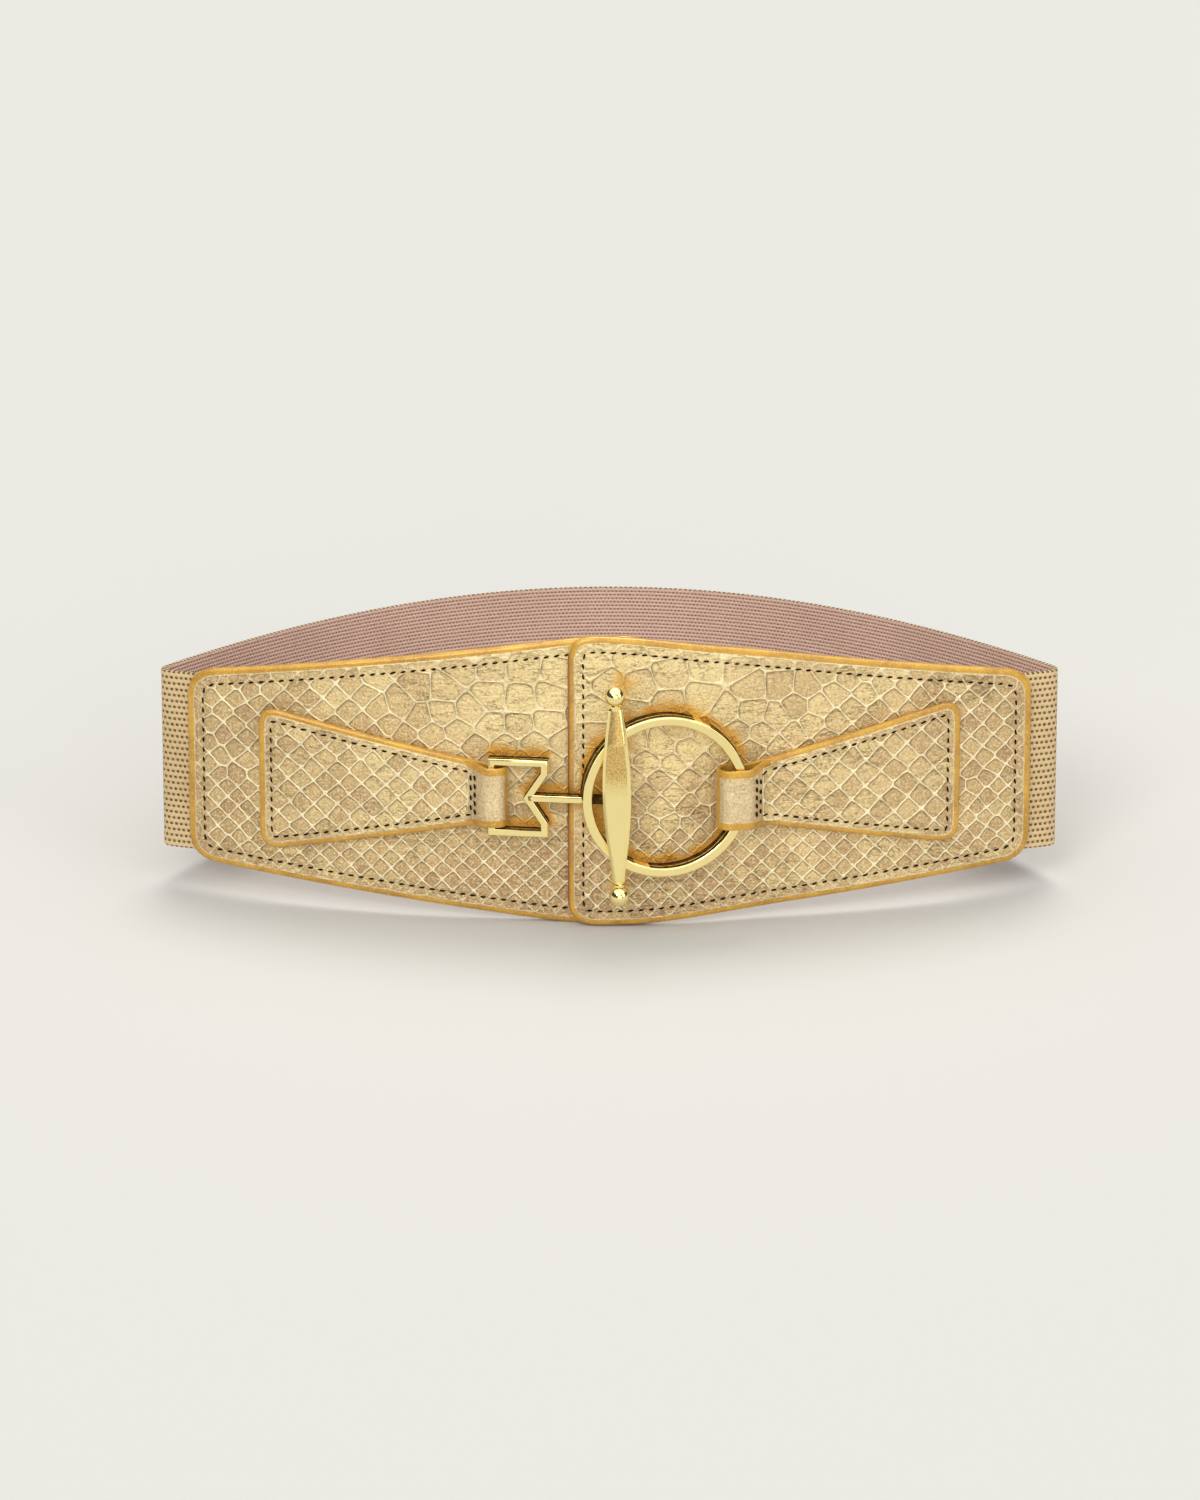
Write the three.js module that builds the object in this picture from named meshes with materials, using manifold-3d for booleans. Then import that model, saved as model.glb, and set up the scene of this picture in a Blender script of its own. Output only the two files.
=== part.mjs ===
// A wide waist belt: an elastic band round the back, and two leather fronts that lap over each other in the
// middle. A toggle passed through a ring closes it. Each front has a leather tab sewn on it: the left tab holds
// the toggle's notched bracket in its fold, and the right tab holds the ring.
// The closed belt stands on its lower edge, where the fronts are deepest and where the band is furthest back.
// Millimetres, +Z up, the front of the belt towards -Y.
import * as THREE from "three";
import { mergeVertices } from "three/addons/utils/BufferGeometryUtils.js";
import Module from "manifold-3d";

const wasm = await Module();
wasm.setup();

// The closed loop seen from above: a shallow bow in front, a deep one behind, and a tight fold at each end
const cornerReach = 148; // from the middle to where the two bows would meet
const frontDepth = 27.5;
const backDepth = 97;
const foldLength = 6; // how much of the band, on each side of a corner, turns in its fold

// Elastic band
const bandWidth = 60;
const bandThickness = 1.6;
const bandReach = 112; // from the middle to each end of the band, behind the fronts

// Leather fronts
const panelThickness = 3;
const panelReach = 137.5; // from the middle of the belt to the outer end of a front
const panelLap = 13.5; // how far each front passes the middle
const panelCrownHeight = 97.8; // at the deepest place
const panelEndHeight = 64; // at the outer end
const panelCrownLength = 34; // from the inner corner to where the straight taper starts
const panelCrownDrop = 1.7; // how much lower the straight taper starts, on each side
const panelInnerCorner = 9;
const panelOuterCorner = 9;
const leftPanelRise = 1.6; // of its inner end's middle above the belt's middle line
const rightPanelRise = 2.4;
const panelRampLength = 44; // over which the right front comes down from the left one to the band

// Leather tabs
const tabLayer = 1.3; // of the tab's two layers of leather
const tabReach = 114; // from the middle to a tab's wide end
const tabWideHeight = 49.4;
const tabNarrowHeight = 20;
const tabWideCorner = 7.5;
const leftFoldReach = 33; // from the middle to the tip of the left tab's fold
const rightFoldReach = 34.5;
const leanRoom = 0.5; // room in a fold for the lean of what it holds
const foldRunOut = 7; // over which a fold closes, past what it holds
const foldStep = 0.6; // between the corners of a fold's wall
const leftTabDrop = 1.4; // of the wide end's middle below the belt's middle line
const rightTabDrop = -1;

// Clasp
const claspDrop = 2.4; // of the bracket's middle below the belt's middle line
const ringDiameter = 54.4;
const ringWire = 3.2; // across the wire, seen from the front
const ringDepth = 6; // of the wire, from back to front
const ringCorner = 0.9; // radius of the wire's corners
const ringMiddle = 17.8; // to the right of the belt's middle
const ringRise = 1.9; // of the ring's middle above the bracket's
const rodWidth = 2.3; // of the bracket's rods, seen from the front
const rodDepth = 4;
const rodBevel = 0.35;
const frameLength = 17.3; // between the middles of the bracket's end rods
const frameHeight = 23.8; // between the middles of its upper and lower rods
const notchDepth = 5.6;
const notchHeight = 17;
const frameReach = 38; // from the belt's middle to the rod in the left tab's fold
const toggleMiddle = 3.5; // to the right of the belt's middle
const toggleHeight = 74; // over its two balls
const toggleRise = 3.8; // of the toggle's middle above the bracket's
const toggleWidth = 9.2;
const toggleThickness = 3.8;
const toggleBevel = 0.9;
const toggleLean = THREE.MathUtils.degToRad(1.2);
const ballDiameter = 6.2;
const neckDiameter = 2.6;
const neckLength = 2.4; // between the blade and a ball
const stemDiameter = 3.4;

// Half widths of the toggle's blade as shares of its own half width, at shares of its half length from its foot
const bladeOutline = [
  { along: -1, half: 0.42 },
  { along: -0.7, half: 0.7 },
  { along: -0.4, half: 0.92 },
  { along: -0.12, half: 1 },
  { along: 0.25, half: 0.88 },
  { along: 0.6, half: 0.64 },
  { along: 1, half: 0.4 },
];

const gap = 0.3; // between pieces that touch
const pressedFlat = 0.45; // how much of an edge is pressed flat where the belt stands on it
const planStep = 5; // between the corners of a wall's curve, seen from above
const arcSteps = 6;
const spare = 20; // by which a cutting body stands past what it cuts

// Places along the front bow: how far the belt's middle surface lies in front, and how far out a face is
const bowY = (x) => -frontDepth * (1 - (x / cornerReach) ** 2);
const panelIn = bandThickness / 2 + gap;
const lapOut = panelThickness + gap;
const rampStart = panelLap + gap;

const ease = (t) => {
  const s = THREE.MathUtils.clamp(t, 0, 1);
  return s * s * (3 - 2 * s);
};
const leftPanelOut = () => panelIn;
const rightPanelOut = (x) => panelIn + lapOut * (1 - ease((x - rampStart) / panelRampLength));
const leftFace = (x) => bowY(x) - leftPanelOut() - panelThickness;
const rightFace = (x) => bowY(x) - rightPanelOut(x) - panelThickness;

// A closed geometry as a solid for joining and cutting
function solid(geometry) {
  const bare = geometry.index ? geometry.toNonIndexed() : geometry.clone();
  bare.deleteAttribute("normal");
  bare.deleteAttribute("uv");
  const merged = mergeVertices(bare, 1e-4);
  return new wasm.Manifold(
    new wasm.Mesh({
      numProp: 3,
      vertProperties: new Float32Array(merged.attributes.position.array),
      triVerts: new Uint32Array(merged.index.array),
    }),
  );
}

// A joined or cut solid as a geometry
function geometryOf(made) {
  const mesh = made.getMesh();
  const geometry = new THREE.BufferGeometry();
  geometry.setAttribute("position", new THREE.BufferAttribute(new Float32Array(mesh.vertProperties), 3));
  geometry.setIndex(new THREE.BufferAttribute(new Uint32Array(mesh.triVerts), 1));
  geometry.computeVertexNormals();
  return geometry;
}

// An outline drawn from above, raised to a height about the belt's middle line
function raised(shape, height) {
  const options = { depth: height, bevelEnabled: false, curveSegments: arcSteps };
  return new THREE.ExtrudeGeometry(shape, options).translate(0, 0, -height / 2);
}

// An outline drawn from the front, with its middle at y = 0 and the given depth from front to back
function frontal(shape, depth, bevel = 0) {
  const options = {
    depth: depth - 2 * bevel,
    bevelEnabled: bevel > 0,
    bevelThickness: bevel,
    bevelSize: bevel,
    bevelOffset: -bevel,
    bevelSegments: 1,
    curveSegments: arcSteps,
  };
  return new THREE.ExtrudeGeometry(shape, options).translate(0, 0, bevel - depth / 2).rotateX(Math.PI / 2);
}

function spread(from, to, step) {
  const count = Math.max(2, Math.round(Math.abs(to - from) / step));
  return Array.from({ length: count + 1 }, (_, i) => from + ((to - from) * i) / count);
}

// A polygon with each corner rounded by its own radius
function roundedShape(corners) {
  const shape = new THREE.Shape();
  corners.forEach(({ x, y, radius = 0 }, i) => {
    const here = new THREE.Vector2(x, y);
    const before = corners[(i + corners.length - 1) % corners.length];
    const after = corners[(i + 1) % corners.length];
    const towardsBefore = new THREE.Vector2(before.x - x, before.y - y).normalize();
    const towardsAfter = new THREE.Vector2(after.x - x, after.y - y).normalize();
    const halfAngle = towardsBefore.angleTo(towardsAfter) / 2;
    const cut = radius / Math.tan(halfAngle);
    const start = here.clone().addScaledVector(towardsBefore, cut);
    const end = here.clone().addScaledVector(towardsAfter, cut);
    if (i) shape.lineTo(start.x, start.y);
    else shape.moveTo(start.x, start.y);
    if (radius) shape.quadraticCurveTo(here.x, here.y, end.x, end.y);
  });
  shape.closePath();
  return shape;
}

// A stretch of the bow y = -depth (1 - (x / cornerReach)^2), which is exactly one quadratic curve
function bow(depth, from, to) {
  const at = (product) => -depth * (1 - product / cornerReach ** 2);
  return new THREE.QuadraticBezierCurve(
    new THREE.Vector2(from, at(from * from)),
    new THREE.Vector2((from + to) / 2, at(from * to)),
    new THREE.Vector2(to, at(to * to)),
  );
}

// Elastic band: a wall of even thickness along front stretch, fold, back bow, fold and front stretch
function bandGeometry() {
  const foldOn = (depth) => cornerReach - foldLength * Math.cos(Math.atan((2 * depth) / cornerReach));
  const front = foldOn(frontDepth);
  const back = foldOn(backDepth);
  const leftStart = bow(frontDepth, -bandReach, -front);
  const backBow = bow(-backDepth, -back, back);
  const rightEnd = bow(frontDepth, front, bandReach);
  const corner = (side) => new THREE.Vector2(side * cornerReach, 0);
  const leftFold = new THREE.QuadraticBezierCurve(leftStart.v2, corner(-1), backBow.v0);
  const rightFold = new THREE.QuadraticBezierCurve(backBow.v2, corner(1), rightEnd.v0);
  const route = [leftStart, leftFold, backBow, rightFold, rightEnd];
  const outer = [];
  const inner = [];
  route.forEach((curve, i) => {
    const isFold = i % 2 === 1;
    const steps = isFold ? 2 * arcSteps : Math.ceil(curve.getLength() / planStep);
    for (let k = i ? 1 : 0; k <= steps; k += 1) {
      const middle = curve.getPoint(k / steps);
      const along = curve.getTangent(k / steps);
      const outward = new THREE.Vector2(-along.y, along.x).multiplyScalar(bandThickness / 2);
      outer.push(middle.clone().add(outward));
      inner.push(middle.clone().sub(outward));
    }
  });
  return raised(new THREE.Shape([...outer, ...inner.reverse()]), bandWidth);
}

// Leather front, drawn for the right side: its plan wall cut to its outline. side is -1 for the left front.
function panelGeometry(side, outAt, rise) {
  const from = -panelLap;
  const xs = spread(from, panelReach, planStep).map((x) => side * x);
  const back = xs.map((x) => new THREE.Vector2(x, bowY(x) - outAt(x)));
  const front = xs.map((x) => new THREE.Vector2(x, bowY(x) - outAt(x) - panelThickness));
  const wall = raised(new THREE.Shape([...front, ...back.reverse()]), panelCrownHeight + spare);
  const crown = panelCrownHeight / 2;
  const end = panelEndHeight / 2;
  const taperStart = from + panelCrownLength;
  const straight = crown - panelCrownDrop;
  const taper = (straight - end) / (panelReach - taperStart);
  const bend = taperStart - panelCrownDrop / taper;
  const cornerStart = panelReach - panelOuterCorner;
  const upper = [
    { x: from, z: 0 },
    { x: from, z: crown - panelInnerCorner },
    { x: from + panelInnerCorner, z: crown, past: { x: from, z: crown } },
    { x: taperStart, z: straight, past: { x: bend, z: crown } },
    { x: cornerStart, z: end + taper * panelOuterCorner },
    { x: panelReach, z: end - panelOuterCorner, past: { x: panelReach, z: end } },
  ];
  const middleAt = (x) => (rise * (panelReach - x)) / (panelReach - from);
  const outline = new THREE.Shape();
  outline.moveTo(side * from, middleAt(from));
  const edge = (sign, to, past) => {
    const at = [side * to.x, middleAt(to.x) + sign * to.z];
    if (past) outline.quadraticCurveTo(side * past.x, middleAt(past.x) + sign * past.z, ...at);
    else outline.lineTo(...at);
  };
  for (const point of upper.slice(1)) edge(1, point, point.past);
  const lower = [...upper].reverse();
  edge(-1, lower[0]);
  lower.slice(1, -1).forEach((point, i) => edge(-1, point, lower[i].past));
  outline.closePath();
  return solid(wall).intersect(solid(frontal(outline, 4 * (frontDepth + spare))));
}

// Leather tab, drawn for the right side. At the narrow end its two layers part and fold round what they hold, and
// the outline tapers only past that.
function tabSolid({ side, foldReach, faceAt, heldTo, held, wideDrop }) {
  const foldHeight = 2 * tabLayer + held + 2 * gap;
  const tip = foldHeight / 2;
  const foldMiddle = foldReach + tip;
  const backY = (x) => faceAt(side * x) - gap;
  const frontY = (x) => {
    const closed = ease((x - heldTo) / foldRunOut);
    return backY(x) - foldHeight + (foldHeight - 2 * tabLayer) * closed;
  };
  const roundTip = (radius) => {
    const points = [];
    for (let k = 1; k < 2 * arcSteps; k += 1) {
      const turn = (Math.PI * k) / (2 * arcSteps);
      const x = foldMiddle - radius * Math.sin(turn);
      points.push(new THREE.Vector2(side * x, backY(foldMiddle) - tip + radius * Math.cos(turn)));
    }
    return points;
  };
  const xs = spread(foldMiddle, tabReach, planStep / 4);
  const front = xs.map((x) => new THREE.Vector2(side * x, frontY(x)));
  const back = xs.map((x) => new THREE.Vector2(side * x, backY(x))).reverse();
  const plan = new THREE.Shape([...front, ...back, ...roundTip(tip)]);
  const eyeFront = [];
  const eyeBack = [];
  for (const x of spread(foldMiddle, heldTo + foldRunOut, foldStep)) {
    const slope = (frontY(x + foldStep / 2) - frontY(x - foldStep / 2)) / foldStep;
    const wall = tabLayer / Math.hypot(1, slope);
    const at = new THREE.Vector2(x - slope * wall, frontY(x) + wall);
    if (backY(at.x) - tabLayer - at.y < gap) break;
    eyeFront.push(new THREE.Vector2(side * at.x, at.y));
    eyeBack.unshift(new THREE.Vector2(side * at.x, backY(at.x) - tabLayer));
  }
  const eye = [...eyeFront, ...eyeBack, ...roundTip(tip - tabLayer)];
  plan.holes.push(new THREE.Path(eye.reverse()));
  const wall = raised(plan, panelCrownHeight);
  const narrow = tabNarrowHeight / 2;
  const wide = tabWideHeight / 2;
  const outline = roundedShape([
    { x: side * foldReach, y: -claspDrop - narrow },
    { x: side * heldTo, y: -claspDrop - narrow },
    { x: side * tabReach, y: -wideDrop - wide, radius: tabWideCorner },
    { x: side * tabReach, y: -wideDrop + wide, radius: tabWideCorner },
    { x: side * heldTo, y: -claspDrop + narrow },
    { x: side * foldReach, y: -claspDrop + narrow },
  ]);
  return solid(wall).intersect(solid(frontal(outline, 4 * (frontDepth + spare))));
}

// Where the clasp lies: the bracket leans out from the left tab's fold over the right front's edge, and the ring
// from the right tab's fold over the bracket's shank
const rodHeld = rodDepth + leanRoom;
const ringHeld = ringDepth + leanRoom;
const rodY = leftFace(-frameReach) - gap - tabLayer - gap - rodHeld / 2;
const lapEdgeY = rightFace(-panelLap) - gap - rodDepth / 2;
const bracketYaw = Math.atan2(rodY - lapEdgeY, frameReach - panelLap);
const bracketY = (x) => rodY - (x + frameReach) * Math.tan(bracketYaw);
const ringLeft = ringMiddle - ringDiameter / 2 + ringWire / 2;
const ringRight = ringMiddle + ringDiameter / 2 - ringWire / 2;
const ringRightY = rightFace(ringRight) - gap - tabLayer - gap - ringHeld / 2;
const shankFront = bracketY(ringLeft + ringWire / 2) - rodDepth / 2 / Math.cos(bracketYaw);
const ringLeftY = shankFront - gap - ringDepth / 2;
const ringYaw = Math.atan2(ringRightY - ringLeftY, ringRight - ringLeft);
const ringY = (x) => ringLeftY + (x - ringLeft) * Math.tan(ringYaw);

function ringGeometry() {
  const inner = ringDiameter / 2 - ringWire;
  const outer = ringDiameter / 2;
  const high = ringDepth / 2;
  const section = roundedShape([
    { x: inner, y: -high, radius: ringCorner },
    { x: outer, y: -high, radius: ringCorner },
    { x: outer, y: high, radius: ringCorner },
    { x: inner, y: high, radius: ringCorner },
  ]).getPoints(3);
  return new THREE.LatheGeometry(section, 72);
}

// Corners of a polygon moved out by a distance, with mitred corners
function grown(corners, distance) {
  return corners.map((here, i) => {
    const before = corners[(i + corners.length - 1) % corners.length];
    const after = corners[(i + 1) % corners.length];
    const into = here.clone().sub(before).normalize();
    const outOf = after.clone().sub(here).normalize();
    const mitre = new THREE.Vector2(into.y + outOf.y, -into.x - outOf.x).normalize();
    const share = mitre.x * outOf.y - mitre.y * outOf.x;
    return here.clone().addScaledVector(mitre, distance / share);
  });
}

// Bracket and shank, drawn from the front with the rod in the tab's fold at x = 0
function bracketSolid(shankLength) {
  const high = frameHeight / 2;
  const notch = notchHeight / 2;
  const corners = [
    new THREE.Vector2(0, -high),
    new THREE.Vector2(frameLength, -high),
    new THREE.Vector2(frameLength, -notch),
    new THREE.Vector2(frameLength - notchDepth, 0),
    new THREE.Vector2(frameLength, notch),
    new THREE.Vector2(frameLength, high),
    new THREE.Vector2(0, high),
  ];
  const frame = new THREE.Shape(grown(corners, rodWidth / 2));
  frame.holes.push(new THREE.Path(grown(corners, -rodWidth / 2)));
  const shankStart = frameLength - notchDepth;
  const shank = roundedShape([
    { x: shankStart, y: -rodWidth / 2 },
    { x: shankLength, y: -rodWidth / 2 },
    { x: shankLength, y: rodWidth / 2 },
    { x: shankStart, y: rodWidth / 2 },
  ]);
  return solid(frontal(frame, rodDepth, rodBevel)).add(solid(frontal(shank, rodDepth, rodBevel)));
}

// The toggle's blade, necks and balls, upright about z = 0
function toggleSolid() {
  const bladeHalf = toggleHeight / 2 - ballDiameter - neckLength / 2;
  const side = (sign) =>
    bladeOutline.map(
      ({ along, half }) => new THREE.Vector2((sign * half * toggleWidth) / 2, along * bladeHalf),
    );
  const steps = 18;
  const right = new THREE.SplineCurve(side(1)).getPoints(steps);
  const left = new THREE.SplineCurve(side(-1)).getPoints(steps).reverse();
  const blade = frontal(new THREE.Shape([...right, ...left]), toggleThickness, toggleBevel);
  const ballAt = (toggleHeight - ballDiameter) / 2;
  const rod = new THREE.CylinderGeometry(neckDiameter / 2, neckDiameter / 2, 2 * ballAt, 12).rotateX(Math.PI / 2);
  let made = solid(blade).add(solid(rod));
  for (const sign of [-1, 1]) {
    const ball = new THREE.SphereGeometry(ballDiameter / 2, 20, 14).translate(0, 0, sign * ballAt);
    made = made.add(solid(ball));
  }
  return made;
}

// Bracket, shank, stem and toggle are one casting
function toggleBracketGeometry() {
  const shankLength = (frameReach + toggleMiddle) / Math.cos(bracketYaw) + stemDiameter / 2;
  const toggleBack = ringY(toggleMiddle - toggleWidth / 2) - ringDepth / 2 / Math.cos(ringYaw) - gap;
  const standOff = (bracketY(toggleMiddle) - toggleBack) / Math.cos(bracketYaw) + toggleThickness / 2;
  const stem = new THREE.CylinderGeometry(stemDiameter / 2, stemDiameter / 2, standOff, 16);
  stem.translate(shankLength - stemDiameter / 2, -standOff / 2, 0);
  const degrees = THREE.MathUtils.radToDeg;
  const toggle = toggleSolid()
    .rotate([0, -degrees(toggleLean), 0])
    .translate([shankLength - stemDiameter / 2, -standOff, toggleRise]);
  return geometryOf(
    bracketSolid(shankLength)
      .add(solid(stem))
      .add(toggle)
      .rotate([0, 0, -degrees(bracketYaw)])
      .translate([-frameReach, rodY, -claspDrop]),
  );
}

// The floor under the standing belt, in the belt's own frame
const frontFoot = { y: leftFace(0), z: leftPanelRise - panelCrownHeight / 2 + pressedFlat };
const backFoot = { y: backDepth + bandThickness / 2, z: -bandWidth / 2 + pressedFlat };
const belowTilt = Math.atan2(backFoot.z - frontFoot.z, backFoot.y - frontFoot.y);

function floorSolid() {
  const side = 4 * cornerReach;
  const floor = new THREE.BoxGeometry(side, side, spare);
  floor.translate(0, 0, -spare / 2).rotateX(belowTilt).translate(0, frontFoot.y, frontFoot.z);
  return solid(floor);
}

const leather = new THREE.MeshStandardMaterial({ color: 0xd8bd82, roughness: 0.42, metalness: 0.55 });
const webbing = new THREE.MeshStandardMaterial({ color: 0xbb9a80, roughness: 0.8, metalness: 0.1 });
const metal = new THREE.MeshStandardMaterial({ color: 0xf2cf6a, roughness: 0.12, metalness: 1 });

const belt = new THREE.Group();
function addPiece(name, geometry, material) {
  const piece = new THREE.Mesh(geometry, material);
  piece.name = name;
  belt.add(piece);
}

const floor = floorSolid();
const standing = (made) => geometryOf(made.subtract(floor));
addPiece("elastic_band", standing(solid(bandGeometry())), webbing);
addPiece("left_front", standing(panelGeometry(-1, leftPanelOut, leftPanelRise)), leather);
addPiece("right_front", standing(panelGeometry(1, rightPanelOut, rightPanelRise)), leather);
addPiece(
  "left_tab",
  geometryOf(
    tabSolid({
      side: -1,
      foldReach: leftFoldReach,
      faceAt: leftFace,
      heldTo: frameReach + rodWidth / 2 + gap,
      held: rodHeld,
      wideDrop: leftTabDrop,
    }),
  ),
  leather,
);
addPiece(
  "right_tab",
  geometryOf(
    tabSolid({
      side: 1,
      foldReach: rightFoldReach,
      faceAt: rightFace,
      heldTo: ringRight + ringWire / 2 + gap,
      held: ringHeld,
      wideDrop: rightTabDrop,
    }),
  ),
  leather,
);
addPiece("toggle_bracket", toggleBracketGeometry(), metal);

const ring = new THREE.Mesh(ringGeometry(), metal);
ring.name = "clasp_ring";
ring.rotation.z = ringYaw;
ring.position.set(ringMiddle, ringY(ringMiddle), ringRise - claspDrop);
belt.add(ring);

// The belt leans back until it stands on both feet, with its footprint's middle at the origin
belt.rotation.x = -belowTilt;
belt.updateMatrixWorld(true);
const extent = new THREE.Box3().setFromObject(belt, true);
const middle = extent.getCenter(new THREE.Vector3());
belt.position.set(-middle.x, -middle.y, -extent.min.z);

const part = new THREE.Group();
part.add(belt);
export default part;
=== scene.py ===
"""A wide waist belt standing closed on its edge: gold snake-embossed leather fronts over a ribbed
elastic band, with a toggle and ring clasp. The flat pieces are drawn in millimetres with x along
the belt, z up and the depth out of the leather towards -y, and are then curved round the waist and
stood on the floor."""

import math
import random

import bmesh
import bpy
from mathutils import Matrix, Vector, kdtree, noise


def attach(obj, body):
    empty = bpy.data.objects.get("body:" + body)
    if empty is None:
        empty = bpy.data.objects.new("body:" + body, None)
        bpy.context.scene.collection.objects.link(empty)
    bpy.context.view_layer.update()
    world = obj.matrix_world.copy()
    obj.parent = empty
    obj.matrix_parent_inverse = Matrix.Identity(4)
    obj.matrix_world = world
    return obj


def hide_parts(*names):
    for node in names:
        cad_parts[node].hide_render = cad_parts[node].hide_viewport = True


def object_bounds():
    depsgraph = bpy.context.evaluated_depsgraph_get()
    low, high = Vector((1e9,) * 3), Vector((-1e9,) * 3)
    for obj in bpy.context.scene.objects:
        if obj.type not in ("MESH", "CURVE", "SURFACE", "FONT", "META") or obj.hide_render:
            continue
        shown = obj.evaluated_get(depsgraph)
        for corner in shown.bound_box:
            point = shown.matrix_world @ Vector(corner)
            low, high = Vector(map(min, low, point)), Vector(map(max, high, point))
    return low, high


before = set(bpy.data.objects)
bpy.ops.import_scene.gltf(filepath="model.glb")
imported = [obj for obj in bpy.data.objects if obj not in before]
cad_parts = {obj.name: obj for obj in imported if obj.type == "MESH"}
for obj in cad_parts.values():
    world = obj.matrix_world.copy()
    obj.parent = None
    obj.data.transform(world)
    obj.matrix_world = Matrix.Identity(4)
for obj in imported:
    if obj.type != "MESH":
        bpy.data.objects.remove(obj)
cad_low, cad_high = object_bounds()

# The closed loop seen from above
CORNER_REACH = 148.0
FRONT_DEPTH = 27.5
BACK_DEPTH = 97.0
FOLD_LENGTH = 6.0
GAP = 0.3

# Elastic band
BAND_WIDTH = 60.0
BAND_THICKNESS = 1.6
BAND_REACH = 112.0
OUTER_RIBS = 30
INNER_RIBS = 48

# Leather fronts
PANEL_THICKNESS = 3.0
PANEL_REACH = 137.5
PANEL_LAP = 13.5
PANEL_CROWN_HEIGHT = 97.8
PANEL_END_HEIGHT = 64.0
PANEL_CROWN_LENGTH = 34.0
PANEL_CROWN_DROP = 1.7
PANEL_CORNER = 9.0
PANEL_RAMP_LENGTH = 44.0
LEFT_PANEL_RISE = 1.6
RIGHT_PANEL_RISE = 2.4

# Leather tabs
TAB_LAYER = 1.3
TAB_THICKNESS = 2 * TAB_LAYER
TAB_REACH = 114.0
TAB_WIDE_HEIGHT = 49.4
TAB_NARROW_HEIGHT = 20.0
TAB_CORNER = 7.5
TAB_JITTER = 0.06
FOLD_RUN_OUT = 7.0
LEAN_ROOM = 0.5

# Clasp
CLASP_DROP = 2.4
RING_DIAMETER = 54.4
RING_WIRE = 3.2
RING_DEPTH = 6.0
RING_MIDDLE = 17.8
RING_RISE = 1.9
ROD_WIDTH = 2.3
ROD_DEPTH = 4.0
FRAME_LENGTH = 17.3
FRAME_HEIGHT = 23.8
NOTCH_DEPTH = 5.6
NOTCH_HEIGHT = 17.0
FRAME_REACH = 38.0
TOGGLE_MIDDLE = 3.5
TOGGLE_HEIGHT = 74.0
TOGGLE_RISE = 3.8
TOGGLE_WIDTH = 9.2
TOGGLE_THICKNESS = 3.8
TOGGLE_LEAN = math.radians(1.2)
TOGGLE_CROWN = 1.7
TOGGLE_CHAMFER = 0.95
BALL_DIAMETER = 6.6
NECK_DIAMETER = 2.6
NECK_LENGTH = 2.4
STEM_DIAMETER = 3.4
CAST_BEVEL = 0.32
BLADE_STEP = 1.5
COLLAR_RADIUS = 1.85
# The toggle blade's width at places along its half length, from its lower end up
BLADE_WIDTHS = (
    (-1.0, 0.38), (-0.85, 0.48), (-0.7, 0.6), (-0.5, 0.78), (-0.3, 0.9), (-0.1, 0.975), (0.08, 1.0),
    (0.25, 0.97), (0.4, 0.91), (0.55, 0.82), (0.7, 0.72), (0.85, 0.6), (1.0, 0.48),
)
# The clasp's side walls are painted dark, a painted reflection of a dark room, but for a gold line, which
# lies between these shares of their depth
GOLD_LINE_FROM = 0.3
GOLD_LINE_TO = 0.4
RING_FLASHES = (64, -108)

# How the closed belt stands: it leans back on its deepest front edge and on the band's lower edge behind
STAND_LEAN = 0.13290585501924243
STAND_SHIFT = (0.0, -23.22756835246005, 42.24935863028504)
PRESSED_FLAT = 0.02

# Leatherwork
EDGE_BAND = 1.9
EDGE_ROUND = 1.25
STITCH_INSET = 5.0
TAB_STITCH_INSET = 3.9
STITCH_PITCH = 3.35
STITCH_LENGTH = 1.9
STITCH_WIDTH = 0.68
SKIN_PROUD = 0.03
SCALE_RELIEF = 0.26

# From a scale's border inwards: how wide the step is, its height, how pale its edge is and how dark the
# painted shadow on its edge is
RIDGE_STEPS = (
    (0.18, 0.95, 0.95, 0.0),
    (0.14, 0.2, 0.12, 1.0),
    (0.17, 0.2, 0.0, 0.45),
    (0.8, 0.38, 0.0, 0.0),
)
WAVER = 0.16
SHORTEST_SIDE = 0.3
SMALLEST_SCALE = 7.0
SCALE_REACH = 16.0
SCALE_NEIGHBOURS = 15
CORNER_MERGE = 0.9
BORDER_MERGE = 0.45
LONG_SIDE = 3.4
SHORT_SIDE = 1.5
SKIN_MARGIN = EDGE_BAND + 0.1
LEATHER_STEP = 3.0

WAIST = Matrix.Translation(Vector(STAND_SHIFT)) @ Matrix.Rotation(-STAND_LEAN, 4, "X")
TO_METRES = Matrix.Scale(0.001, 4)


def ease(t):
    s = min(max(t, 0.0), 1.0)
    return s * s * (3 - 2 * s)


def bow_y(x):
    return -FRONT_DEPTH * (1 - (x / CORNER_REACH) ** 2)


PANEL_IN = BAND_THICKNESS / 2 + GAP


def left_back(x):
    """Where the left front's back lies, seen from above"""
    return bow_y(x) - PANEL_IN


def right_back(x):
    lap = PANEL_THICKNESS + GAP
    return bow_y(x) - PANEL_IN - lap * (1 - ease((x - PANEL_LAP - GAP) / PANEL_RAMP_LENGTH))


def left_face(x):
    return left_back(x) - PANEL_THICKNESS


def right_face(x):
    return right_back(x) - PANEL_THICKNESS


# Materials


def new_group(name, inputs, outputs):
    group = bpy.data.node_groups.new(name, "ShaderNodeTree")
    for label, kind, value in inputs:
        socket = group.interface.new_socket(label, in_out="INPUT", socket_type=kind)
        if value is not None:
            socket.default_value = value
    for label, kind in outputs:
        group.interface.new_socket(label, in_out="OUTPUT", socket_type=kind)
    return group


def add(tree, kind, **values):
    node = tree.nodes.new(kind)
    for key, value in values.items():
        setattr(node, key, value)
    return node


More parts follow.
